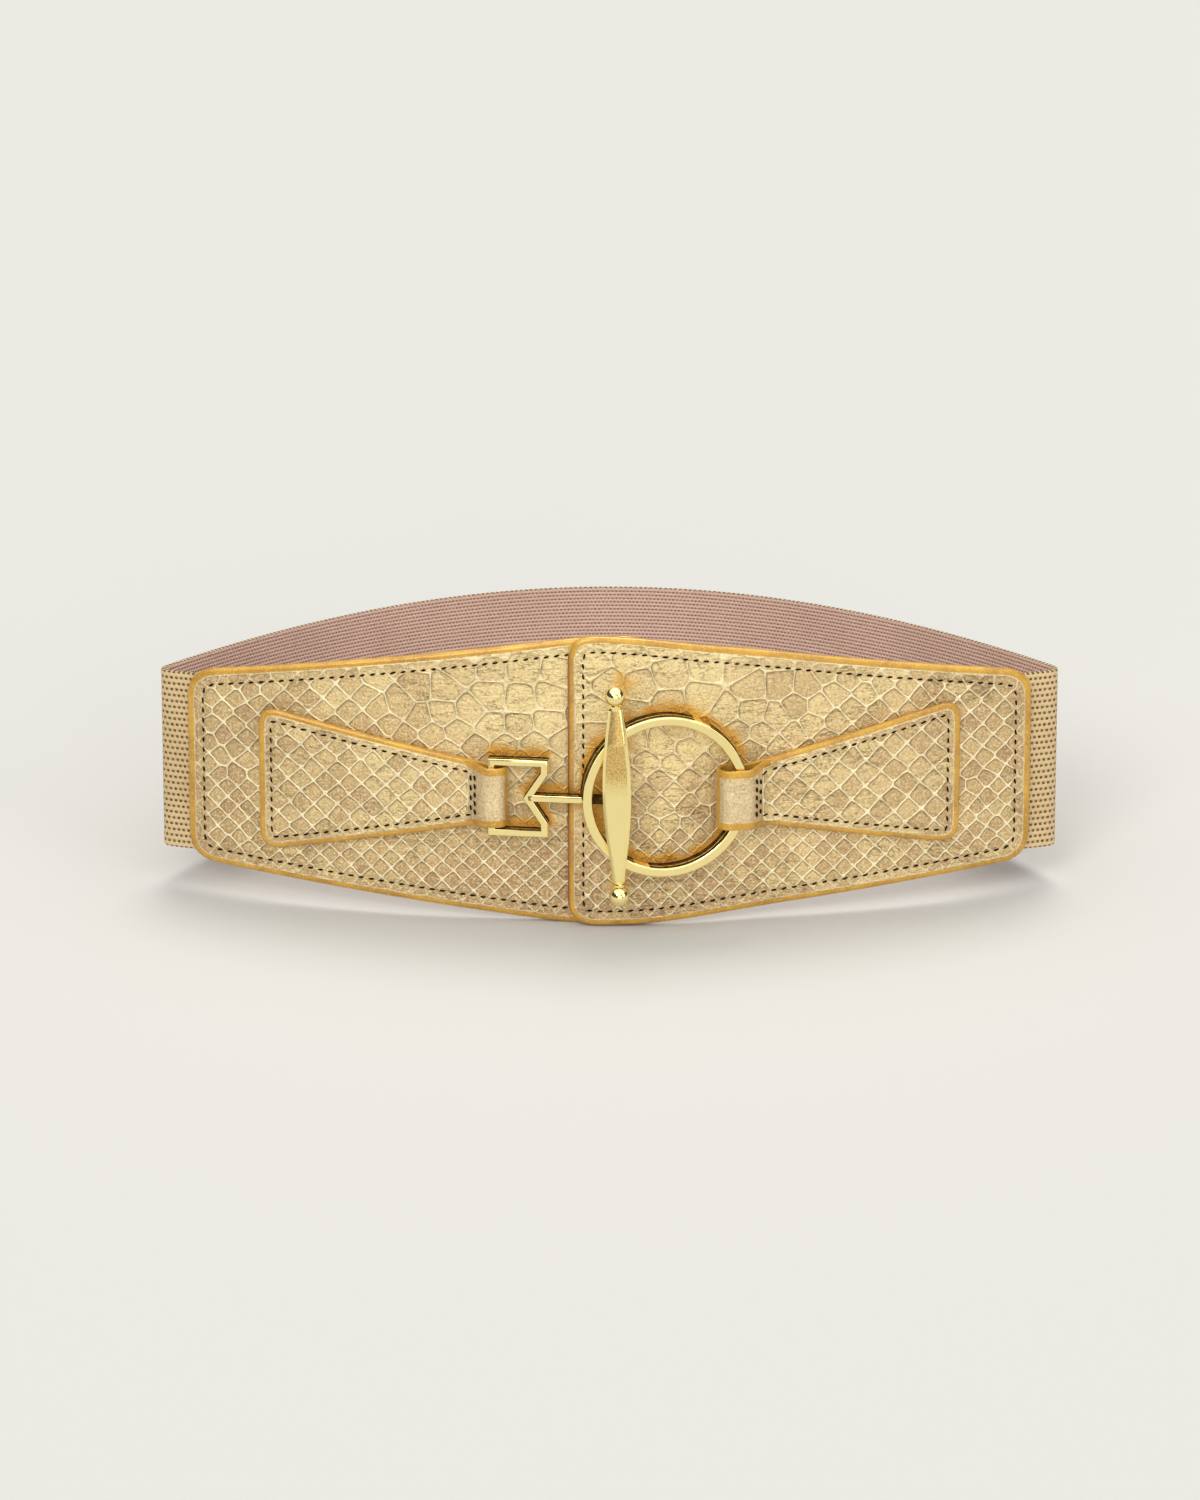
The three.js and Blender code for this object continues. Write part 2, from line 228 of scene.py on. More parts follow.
def plug(tree, source, target, label):
    """Joins a source socket, or writes a plain value, to a labelled input of a node"""
    if isinstance(source, bpy.types.NodeSocket):
        tree.links.new(source, target.inputs[label])
    else:
        target.inputs[label].default_value = source


def math_node(tree, operation, a, b=None):
    node = add(tree, "ShaderNodeMath", operation=operation)
    plug(tree, a, node, 0)
    if b is not None:
        plug(tree, b, node, 1)
    return node.outputs[0]


def times(tree, a, b):
    return math_node(tree, "MULTIPLY", a, b)


def plus(tree, a, b):
    return math_node(tree, "ADD", a, b)


def mix_colour(tree, factor, a, b, blend="MIX"):
    node = add(tree, "ShaderNodeMix", data_type="RGBA", blend_type=blend)
    plug(tree, factor, node, 0)
    plug(tree, a, node, 6)
    plug(tree, b, node, 7)
    return node.outputs[2]


def remap(tree, value, low, high, to_low=0.0, to_high=1.0):
    node = add(tree, "ShaderNodeMapRange")
    plug(tree, value, node, "Value")
    for label, number in (("From Min", low), ("From Max", high), ("To Min", to_low), ("To Max", to_high)):
        node.inputs[label].default_value = number
    return node.outputs[0]


def noise_on(tree, vector, scale, detail=3.0, roughness=0.55):
    node = add(tree, "ShaderNodeTexNoise")
    plug(tree, vector, node, "Vector")
    node.inputs["Scale"].default_value = scale
    node.inputs["Detail"].default_value = detail
    node.inputs["Roughness"].default_value = roughness
    return node.outputs["Fac"]


def foil_group():
    """Crinkles, grain and clouds of the pressed foil, from Object coordinates"""
    group = new_group(
        "foil",
        [("Vector", "NodeSocketVector", None), ("Crinkle", "NodeSocketFloat", 1.0)],
        [(label, "NodeSocketFloat") for label in ("Grain", "Line", "Cloud", "Height")],
    )
    inside = add(group, "NodeGroupInput")
    out = add(group, "NodeGroupOutput")
    vector = inside.outputs["Vector"]
    stretch = add(group, "ShaderNodeMapping")
    plug(group, vector, stretch, "Vector")
    stretch.inputs["Rotation"].default_value = (0.0, 0.12, 0.0)
    stretch.inputs["Scale"].default_value = (0.35, 1.0, 1.5)
    crinkle = noise_on(group, stretch.outputs[0], 260.0, 5.0, 0.62)
    line = math_node(group, "ABSOLUTE", math_node(group, "SUBTRACT", crinkle, 0.5))
    line = remap(group, line, 0.0, 0.014, 0.9, 0.0)
    patch = noise_on(group, vector, 45.0, 1.0)
    line = times(group, line, remap(group, patch, 0.42, 0.58))
    grain = noise_on(group, vector, 1250.0, 3.0, 0.7)
    cloud = noise_on(group, vector, 95.0, 3.0, 0.6)
    lines = times(group, line, inside.outputs["Crinkle"])
    height = math_node(group, "SUBTRACT", grain, times(group, lines, 0.35))
    for name, socket in (("Grain", grain), ("Line", lines), ("Cloud", cloud), ("Height", height)):
        group.links.new(socket, out.inputs[name])
    return group


FOIL = foil_group()


def object_vector(tree):
    return add(tree, "ShaderNodeTexCoord").outputs["Object"]


def foil_on(tree, crinkle):
    node = add(tree, "ShaderNodeGroup", node_tree=FOIL)
    plug(tree, object_vector(tree), node, "Vector")
    node.inputs["Crinkle"].default_value = crinkle
    return node


def new_material(name, metallic, roughness):
    material = bpy.data.materials.new(name)
    material.use_nodes = True
    shader = material.node_tree.nodes["Principled BSDF"]
    shader.inputs["Metallic"].default_value = metallic
    shader.inputs["Roughness"].default_value = roughness
    return material, material.node_tree, shader


def attribute(tree, name, output="Color"):
    return add(tree, "ShaderNodeAttribute", attribute_name=name).outputs[output]


def bump(tree, shader, height, strength, distance):
    node = add(tree, "ShaderNodeBump")
    node.inputs["Strength"].default_value = strength
    node.inputs["Distance"].default_value = distance
    plug(tree, height, node, "Height")
    tree.links.new(node.outputs[0], shader.inputs["Normal"])


def foil_colour(tree, foil, base, shine, shade):
    """The leather's colour with its bright grain and the dark lines of its crinkles"""
    base = mix_colour(tree, remap(tree, foil.outputs["Grain"], 0.5, 0.68, 0.0, 0.62), base, shine)
    base = mix_colour(tree, remap(tree, foil.outputs["Grain"], 0.47, 0.32, 0.0, 0.45), base, shade)
    return mix_colour(tree, times(tree, foil.outputs["Line"], 0.65), base, shade)


def scale_leather():
    """Embossed foil leather. Low down the ridges are pale and the panes tan; where the painted sheen
    is strongest the panes are painted brightest. A thin painted shadow lies under each ridge."""
    material, tree, shader = new_material("scale_leather", 0.6, 0.38)
    foil = foil_on(tree, 1.0)
    tone = attribute(tree, "tone", "Fac")
    ridge = attribute(tree, "ridge", "Fac")
    ridge_shadow = attribute(tree, "ridge_shadow", "Fac")
    clasp_glow_shade = attribute(tree, "clasp_glow_shade", "Fac")
    painted_sheen = attribute(tree, "painted_sheen_at", "Fac")
    zone = noise_on(tree, object_vector(tree), 22.0, 3.0)
    mixed = plus(tree, times(tree, tone, 0.42), times(tree, zone, 0.58))
    # Painted sheen makes the panes brighter, most in the upper middle
    mixed = plus(tree, mixed, painted_sheen)
    pane = mix_colour(tree, remap(tree, mixed, 0.5, 0.95), (0.455, 0.29, 0.145, 1), (0.60, 0.42, 0.20, 1))
    pane = mix_colour(tree, remap(tree, mixed, 0.95, 1.5), pane, (0.88, 0.69, 0.34, 1))
    base = foil_colour(tree, foil, pane, (1.0, 0.84, 0.48, 1), (0.20, 0.11, 0.04, 1))
    patches = noise_on(tree, object_vector(tree), 130.0, 2.0)
    # Painted shadow under each ridge, lighter in patches
    ridge_shadowed = times(tree, ridge_shadow, remap(tree, patches, 0.3, 0.6, 1.0, 0.75))
    base = mix_colour(tree, ridge_shadowed, base, (0.085, 0.036, 0.009, 1))
    lip = times(tree, ridge, remap(tree, painted_sheen, 0.6, 0.9, 0.95, 0.45))
    lip = times(tree, lip, remap(tree, patches, 0.35, 0.6, 0.6, 1.0))
    base = mix_colour(tree, lip, base, (1.0, 0.87, 0.56, 1))
    grain = remap(tree, foil.outputs["Grain"], 0.3, 0.7)
    # Painted reflection of the gold clasp on the leather: orange, with a darker painted shadow where it is
    # strongest
    glow_and_shade = plus(tree, clasp_glow_shade, times(tree, grain, 0.6))
    base = mix_colour(tree, remap(tree, glow_and_shade, 0.5, 1.0, 0.0, 0.95), base, (0.76, 0.40, 0.055, 1))
    base = mix_colour(tree, remap(tree, glow_and_shade, 1.1, 1.5, 0.0, 0.8), base, (0.32, 0.13, 0.018, 1))
    plug(tree, base, shader, "Base Color")
    plug(tree, remap(tree, foil.outputs["Cloud"], 0.3, 0.7, 0.3, 0.44), shader, "Roughness")
    bump(tree, shader, foil.outputs["Height"], 0.7, 0.0006)
    return material


def plain_leather(name, low, high, crinkle, metallic=0.6, roughness=0.42):
    """Foil leather with no scales: margins, folds and backs"""
    material, tree, shader = new_material(name, metallic, roughness)
    foil = foil_on(tree, crinkle)
    base = mix_colour(tree, remap(tree, foil.outputs["Cloud"], 0.3, 0.7), low, high)
    base = foil_colour(tree, foil, base, (0.95, 0.80, 0.48, 1), (0.24, 0.14, 0.055, 1))
    plug(tree, base, shader, "Base Color")
    bump(tree, shader, foil.outputs["Height"], 0.7, 0.0005)
    return material


def edge_paint_and_fold_shade():
    """Ochre edge paint: a soft gloss over small unevenness. The tips of the tab folds carry it too, as
    painted shade
    """
    material, tree, shader = new_material("edge_paint_and_fold_shade", 0.2, 0.3)
    foil = foil_on(tree, 0.3)
    cloud = remap(tree, foil.outputs["Cloud"], 0.3, 0.7)
    base = mix_colour(tree, cloud, (0.43, 0.20, 0.02, 1), (0.66, 0.36, 0.035, 1))
    grain = remap(tree, foil.outputs["Grain"], 0.5, 0.7, 0.0, 0.5)
    base = mix_colour(tree, grain, base, (0.86, 0.58, 0.13, 1))
    # Darker reddish brown along the right front's lap edge
    base = mix_colour(tree, attribute(tree, "lap_edge_dark", "Fac"), base, (0.27, 0.085, 0.02, 1))
    plug(tree, base, shader, "Base Color")
    shader.inputs["Coat Weight"].default_value = 0.4
    shader.inputs["Coat Roughness"].default_value = 0.2
    bump(tree, shader, foil.outputs["Height"], 0.3, 0.0004)
    return material


def thread():
    material, tree, shader = new_material("dark_thread", 0.0, 0.8)
    fuzz = noise_on(tree, object_vector(tree), 2200.0)
    base = mix_colour(tree, fuzz, (0.004, 0.002, 0.001, 1), (0.035, 0.018, 0.007, 1))
    plug(tree, base, shader, "Base Color")
    shader.inputs["Specular IOR Level"].default_value = 0.04
    bump(tree, shader, fuzz, 0.5, 0.0002)
    return material


def gilt():
    """Polished gilt; the attributes "facet" and "upper" mark the upper half of the toggle's front,
    which is painted darker and grainy as a painted dim reflection, and is rougher"""
    material, tree, shader = new_material("polished_gilt", 1.0, 0.09)
    polish = noise_on(tree, object_vector(tree), 900.0, 4.0)
    grain = noise_on(tree, object_vector(tree), 2300.0, 2.0, 0.7)
    base = mix_colour(tree, polish, (0.96, 0.78, 0.32, 1), (1.0, 0.86, 0.42, 1))
    dull = times(tree, attribute(tree, "facet", "Fac"), attribute(tree, "upper", "Fac"))
    # Painted dim reflection on the upper half of the toggle's front
    dim_reflection = mix_colour(tree, remap(tree, grain, 0.35, 0.65), (0.40, 0.25, 0.07, 1), (0.80, 0.58, 0.22, 1))
    base = mix_colour(tree, dull, base, dim_reflection)
    plug(tree, base, shader, "Base Color")
    rough = mix_colour(tree, dull, remap(tree, polish, 0.3, 0.7, 0.05, 0.12), (0.34, 0.34, 0.34, 1))
    plug(tree, rough, shader, "Roughness")
    height = plus(tree, times(tree, polish, 0.1), times(tree, grain, dull))
    bump(tree, shader, height, 0.5, 0.0001)
    return material


def dark_gilt():
    """Painted dark reflection for the clasp's side walls, as if they mirrored a dark room"""
    material, tree, shader = new_material("dark_gilt", 0.0, 0.5)
    reflection_mottle = noise_on(tree, object_vector(tree), 420.0, 3.0)
    share = remap(tree, reflection_mottle, 0.35, 0.65)
    base = mix_colour(tree, share, (0.022, 0.011, 0.003, 1), (0.13, 0.07, 0.018, 1))
    plug(tree, base, shader, "Base Color")
    shader.inputs["Specular IOR Level"].default_value = 0.0
    return material


def webbing(name, low, high, dot, *, rows, pitch, line, gap, metallic, roughness):
    """Ribbed webbing. The UV map holds millimetres along the band and across it; small dark holes
    lie between the warp cords of every row, pitch millimetres apart. line and gap say how dark the
    painted shade is between rows and cords."""
    material, tree, shader = new_material(name, metallic, roughness)
    uv = add(tree, "ShaderNodeUVMap", uv_map="weave").outputs[0]
    split = add(tree, "ShaderNodeSeparateXYZ")
    tree.links.new(uv, split.inputs[0])
    row = times(tree, split.outputs["Y"], rows / BAND_WIDTH)
    nearest_row = math_node(tree, "FLOOR", plus(tree, row, 0.5))
    across = math_node(tree, "PINGPONG", row, 0.5)
    shifted = times(tree, nearest_row, 0.5)
    along = plus(tree, math_node(tree, "DIVIDE", split.outputs["X"], pitch), shifted)
    cord = math_node(tree, "PINGPONG", along, 0.5)
    fuzz = noise_on(tree, object_vector(tree), 1900.0, 3.0)
    cloud = noise_on(tree, object_vector(tree), 60.0, 2.0)
    base = mix_colour(tree, cloud, low, high)
    between_rows = remap(tree, across, 0.17, 0.27, 1.0, 0.0)
    between_cords = remap(tree, cord, 0.22, 0.32, 1.0, 0.0)
    hole = times(tree, between_rows, between_cords)
    shade = math_node(tree, "MAXIMUM", times(tree, between_rows, line), times(tree, between_cords, gap))
    base = mix_colour(tree, math_node(tree, "MAXIMUM", hole, shade), base, dot)
    base = mix_colour(tree, remap(tree, fuzz, 0.4, 0.65, 0.0, 0.3), base, high)
    plug(tree, base, shader, "Base Color")
    height = plus(tree, remap(tree, cord, 0.0, 0.5, 0.0, 0.7), times(tree, fuzz, 0.5))
    height = math_node(tree, "SUBTRACT", height, hole)
    bump(tree, shader, height, 0.6, 0.0003)
    return material


SCALE_LEATHER = scale_leather()
MARGIN_LEATHER = plain_leather("margin_leather", (0.62, 0.45, 0.245, 1), (0.80, 0.63, 0.37, 1), 0.8)
BACKING = plain_leather("backing", (0.36, 0.24, 0.13, 1), (0.44, 0.30, 0.17, 1), 0.2, 0.1, 0.6)
EDGE_PAINT_AND_FOLD_SHADE = edge_paint_and_fold_shade()
THREAD = thread()
GILT = gilt()
DARK_GILT = dark_gilt()
OUTER_WEBBING = webbing(
    "outer_webbing", (0.58, 0.39, 0.185, 1), (0.80, 0.60, 0.32, 1), (0.05, 0.022, 0.006, 1),
    rows=OUTER_RIBS, pitch=1.7, line=0.12, gap=0.03, metallic=0.25, roughness=0.5,
)
INNER_WEBBING = webbing(
    "inner_webbing", (0.72, 0.47, 0.37, 1), (0.92, 0.64, 0.52, 1), (0.25, 0.13, 0.10, 1),
    rows=INNER_RIBS, pitch=1.3, line=0.55, gap=0.3, metallic=0.0, roughness=0.7,
)


# Making and placing pieces


def place(bm, matrix=None):
    """Stands a piece that is already curved round the waist, in millimetres, on the floor"""
    if matrix:
        bmesh.ops.transform(bm, matrix=matrix, verts=bm.verts)
    bmesh.ops.transform(bm, matrix=TO_METRES @ WAIST, verts=bm.verts)
    for vert in bm.verts:
        vert.co.z = max(vert.co.z, PRESSED_FLAT / 1000)


def object_from(bm, name, materials):
    mesh = bpy.data.meshes.new(name)
    bm.to_mesh(mesh)
    bm.free()
    for material in materials:
        mesh.materials.append(material)
    piece = bpy.data.objects.new(name, mesh)
    bpy.context.scene.collection.objects.link(piece)
    return piece


def finish_piece(bm, name, materials, nodes, smooth_angle):
    piece = object_from(bm, name, materials)
    piece.data.shade_smooth()
    piece.data.set_sharp_from_angle(angle=math.radians(smooth_angle))
    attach(piece, "root")
    if nodes:
        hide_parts(*nodes)


def cut(bm, at, facing, dist=1e-4, clear=False):
    """Cuts a whole mesh along a plane, and where clear is set keeps only what lies behind it"""
    everything = [*bm.verts, *bm.edges, *bm.faces]
    bmesh.ops.bisect_plane(bm, geom=everything, plane_co=at, plane_no=facing, dist=dist, clear_outer=clear)


def verts_in(geom):
    return [v for v in geom if isinstance(v, bmesh.types.BMVert)]


def closed_edges(bm, ring):
    return [bm.edges.new((ring[k], ring[(k + 1) % len(ring)])) for k in range(len(ring))]


def on_curve(a, past, b, t):
    """A place on the quadratic curve that leaves a towards past and arrives at b"""
    return Vector([(1 - t) ** 2 * a[k] + 2 * t * (1 - t) * past[k] + t * t * b[k] for k in (0, 1)])


def arc(a, past, b, steps=7):
    """Points of a quadratic curve from a to b, without a itself"""
    return [on_curve(a, past, b, k / steps) for k in range(1, steps + 1)]


def tidy_outline(points, side):
    """The outline counter-clockwise as seen from the front, for the side that it is on"""
    flat = [Vector((side * p[0], p[1])) for p in points]
    return flat if side > 0 else flat[::-1]


def panel_outline(side, rise):
    start = -PANEL_LAP
    crown = PANEL_CROWN_HEIGHT / 2
    end = PANEL_END_HEIGHT / 2
    taper_start = start + PANEL_CROWN_LENGTH
    straight = crown - PANEL_CROWN_DROP
    taper = (straight - end) / (PANEL_REACH - taper_start)
    bend = taper_start - PANEL_CROWN_DROP / taper
    corner = PANEL_REACH - PANEL_CORNER

    def at(x, z):
        return (x, z + rise * (PANEL_REACH - x) / (PANEL_REACH - start))

    lower = [at(start, -(crown - PANEL_CORNER))]
    lower += arc(lower[-1], at(start, -crown), at(start + PANEL_CORNER, -crown))
    lower += arc(lower[-1], at(bend, -crown), at(taper_start, -straight))
    lower += [Vector(at(corner, -(end + taper * PANEL_CORNER)))]
    lower += arc(lower[-1], at(PANEL_REACH, -end), at(PANEL_REACH, -(end - PANEL_CORNER)))
    upper = [Vector(at(PANEL_REACH, end - PANEL_CORNER))]
    upper += arc(upper[-1], at(PANEL_REACH, end), at(corner, end + taper * PANEL_CORNER))
    upper += [Vector(at(taper_start, straight))]
    upper += arc(upper[-1], at(bend, crown), at(start + PANEL_CORNER, crown))
    upper += arc(upper[-1], at(start, crown), at(start, crown - PANEL_CORNER))
    return tidy_outline(lower + upper, side)


def outline_sides(points):
    """A start and an inward direction for each side of a convex outline"""
    sides = []
    for i, a in enumerate(points):
        b = points[(i + 1) % len(points)]
        if (b - a).length > 1e-4:
            along = (b - a).normalized()
            sides.append((a.copy(), Vector((-along.y, along.x))))
    return sides


def inset_outline(points, distance):
    """A convex outline moved inwards by a distance; corners that vanish are dropped"""
    ring = [p.copy() for p in points]
    for start, inward in outline_sides(points):
        origin = start + inward * distance
        cut = []
        for i, here in enumerate(ring):
            after = ring[(i + 1) % len(ring)]
            here_in = (here - origin).dot(inward)
            after_in = (after - origin).dot(inward)
            if here_in >= -1e-6:
                cut.append(here)
            if (here_in > 1e-6 and after_in < -1e-6) or (here_in < -1e-6 and after_in > 1e-6):
                cut.append(here.lerp(after, here_in / (here_in - after_in)))
        ring = cut
    clean = []
    for point in ring:
        if not clean or (point - clean[-1]).length > 0.02:
            clean.append(point)
    return clean


def depth_inside(points):
    """A function that says how far a place lies inside a convex outline"""
    sides = outline_sides(points)

    def inside(x, z):
        return min((x - start.x) * inward.x + (z - start.y) * inward.y for start, inward in sides)

    return inside


def slab(outline, thickness, back_at, name, cut_at=None, dark_lap_edge=False):
    """A flat piece of leather with a rounded, painted edge, curved round the waist. At cut_at it
    ends in a plain cut, where a fold of the same leather carries on."""
    bm = bmesh.new()
    face = bm.faces.new([bm.verts.new((p.x, 0.0, p.y)) for p in outline])
    made = bmesh.ops.extrude_face_region(bm, geom=[face])
    bmesh.ops.translate(bm, vec=(0.0, -thickness, 0.0), verts=verts_in(made["geom"]))
    bmesh.ops.recalc_face_normals(bm, faces=bm.faces)
    caps = [f for f in bm.faces if abs(f.normal.y) > 0.99]
    rims = [e for f in caps for e in f.edges]
    if cut_at is not None:
        rims = [e for e in rims if max(abs(v.co.x) for v in e.verts) > cut_at + 0.01]
    rounding = min(EDGE_ROUND, thickness / 2 - 0.2)
    bmesh.ops.bevel(bm, geom=rims, offset=rounding, segments=4, profile=0.5, affect="EDGES", material=-1)
    for f in bm.faces:
        f.material_index = 1
    caps = sorted((f for f in bm.faces if abs(f.normal.y) > 0.999), key=lambda f: -f.calc_area())[:2]
    bmesh.ops.inset_region(bm, faces=caps, thickness=EDGE_BAND - EDGE_ROUND, use_even_offset=True)
    for f in caps:
        f.material_index = 2 if f.normal.y > 0 else 0
    if cut_at is not None:
        for f in bm.faces:
            middle = f.calc_center_median()
            if abs(middle.x) < cut_at + EDGE_BAND and abs(f.normal.y) > 0.9 and f.material_index == 1:
                if max(abs(v.co.x) for v in f.verts) < cut_at + EDGE_BAND + 0.5:
                    f.material_index = 0
    xs = [p.x for p in outline]
    x = min(xs) + LEATHER_STEP
    while x < max(xs) - 1.0:
        cut(bm, (x, 0, 0), (1, 0, 0))
        x += LEATHER_STEP
    # The right front's edge paint is darker reddish brown along its lap edge
    lap_edge_dark = bm.verts.layers.float.new("lap_edge_dark")
    for v in bm.verts:
        v[lap_edge_dark] = 1 - ease((v.co.x - min(xs)) / 1.1) if dark_lap_edge else 0.0
        v.co.y = back_at(v.co.x) + v.co.y
    place(bm)
    finish_piece(bm, name + "_leather", [MARGIN_LEATHER, EDGE_PAINT_AND_FOLD_SHADE, BACKING], [name], 50.0)


def cell_polygon(centre, others, reach):
    """The corners of the area nearer to a scale's centre than to its neighbours"""
    bm = bmesh.new()
    bmesh.ops.create_grid(bm, x_segments=1, y_segments=1, size=reach)
    bmesh.ops.translate(bm, vec=(centre.x, centre.y, 0.0), verts=bm.verts)
    for other in others:
        middle = (centre + other) / 2
        away = (other.x - centre.x, other.y - centre.y, 0.0)
        cut(bm, (middle.x, middle.y, 0.0), away, 1e-5, clear=True)
    face = next(iter(bm.faces), None)
    corners = [v.co.copy() for v in face.verts] if face else []
    bm.free()
    return corners


def scale_centres(region, pitch_at, jitter_at, seed):
    """Centres of staggered scales, row by row from the lowest up. Each scale sits between two of
    the row below; now and then two merge, where the scales grow larger."""
    chance = random.Random(seed)
    low = min(p.x for p in region) - 14
    high = max(p.x for p in region) + 14
    start = pitch_at(low, -60.0)
    row = [Vector((low + k * start, -60.0)) for k in range(int((high - low) / start) + 1)]
    spots = []
    merges = []
    while min(spot.y for spot in row) < 60:
        for spot in row:
            if all((spot - other).length > 0.6 * pitch_at(spot.x, spot.y) for other in spots[-150:]):
                spots.append(spot)
        above = []
        for a, b in zip(row, row[1:]):
            middle = (a + b) / 2
            above.append(middle + Vector((0.0, pitch_at(middle.x, middle.y) / 2)))
        first, last = above[0], above[-1]
        if first.x > low:
            above.insert(0, first - Vector((pitch_at(first.x, first.y), 0.0)))
        if last.x < high:
            above.append(last + Vector((pitch_at(last.x, last.y), 0.0)))
        k = 0
        while k < len(above) - 1:
            a, b = above[k], above[k + 1]
            wanted = pitch_at(a.x, a.y)
            crowded = (b.x - a.x) < 0.93 * wanted
            if crowded and all(abs(x - a.x) > 2.3 * wanted for x in merges):
                above[k : k + 2] = [(a + b) / 2]
                merges.append(a.x)
            k += 1
        merges = merges[-7:]
        for _ in range(2):
            eased = [a * 0.25 + b * 0.5 + c * 0.25 for a, b, c in zip(above, above[1:], above[2:])]
            above[1:-1] = [Vector((spot.x, was.y)) for spot, was in zip(eased, above[1:-1])]
        row = above
    centres = []
    for spot in spots:
        shift = jitter_at(spot.x, spot.y) * pitch_at(spot.x, spot.y)
        centres.append(spot + Vector((chance.uniform(-shift, shift), chance.uniform(-shift, shift))))
    return centres


def tree_of(centres):
    tree = kdtree.KDTree(len(centres))
    for i, centre in enumerate(centres):
        tree.insert((centre.x, centre.y, 0), i)
    tree.balance()
    return tree


def pushed_apart(centres, pitch_at, looseness_at):
    """Scales that crowd each other move apart, which rounds them; where looseness is 0 the rows
    stay as they are"""
    for _ in range(6):
        tree = tree_of(centres)
        moved = []
        for i, centre in enumerate(centres):
            wanted = 0.8 * pitch_at(centre.x, centre.y)
            push = Vector((0.0, 0.0))
            for _, j, distance in tree.find_n((centre.x, centre.y, 0), 8):
                if j != i and distance < wanted:
                    push += (centre - centres[j]).normalized() * (wanted - distance) * 0.35
            moved.append(centre + push * looseness_at(centre.x, centre.y))
        centres = moved
    return centres


def room_in(face):
    """How far a face can be inset before one of its sides vanishes"""
    room = 1e9
    for loop in face.loops:
        total = 0.0
        for corner in (loop, loop.link_loop_next):
            turn = math.pi - corner.calc_angle()
            total += math.tan(min(turn, 3.0) / 2) * (1 if corner.is_convex else -1)
        if total > 1e-6:
            room = min(room, loop.edge.calc_length() / total)
    return room


def join_small_cells(bm, smallest):
    """Joins each cell that is too small to be a scale to the neighbour along its longest side"""
    for _ in range(400):
        small = (f for f in bm.faces if f.calc_area() < smallest)
        inner = next(filter(None, ([e for e in f.edges if not e.is_boundary] for f in small)), None)
        if inner is None:
            return
        longest = max(inner, key=lambda e: e.calc_length())
        bmesh.ops.dissolve_edges(bm, edges=[longest], use_verts=False)


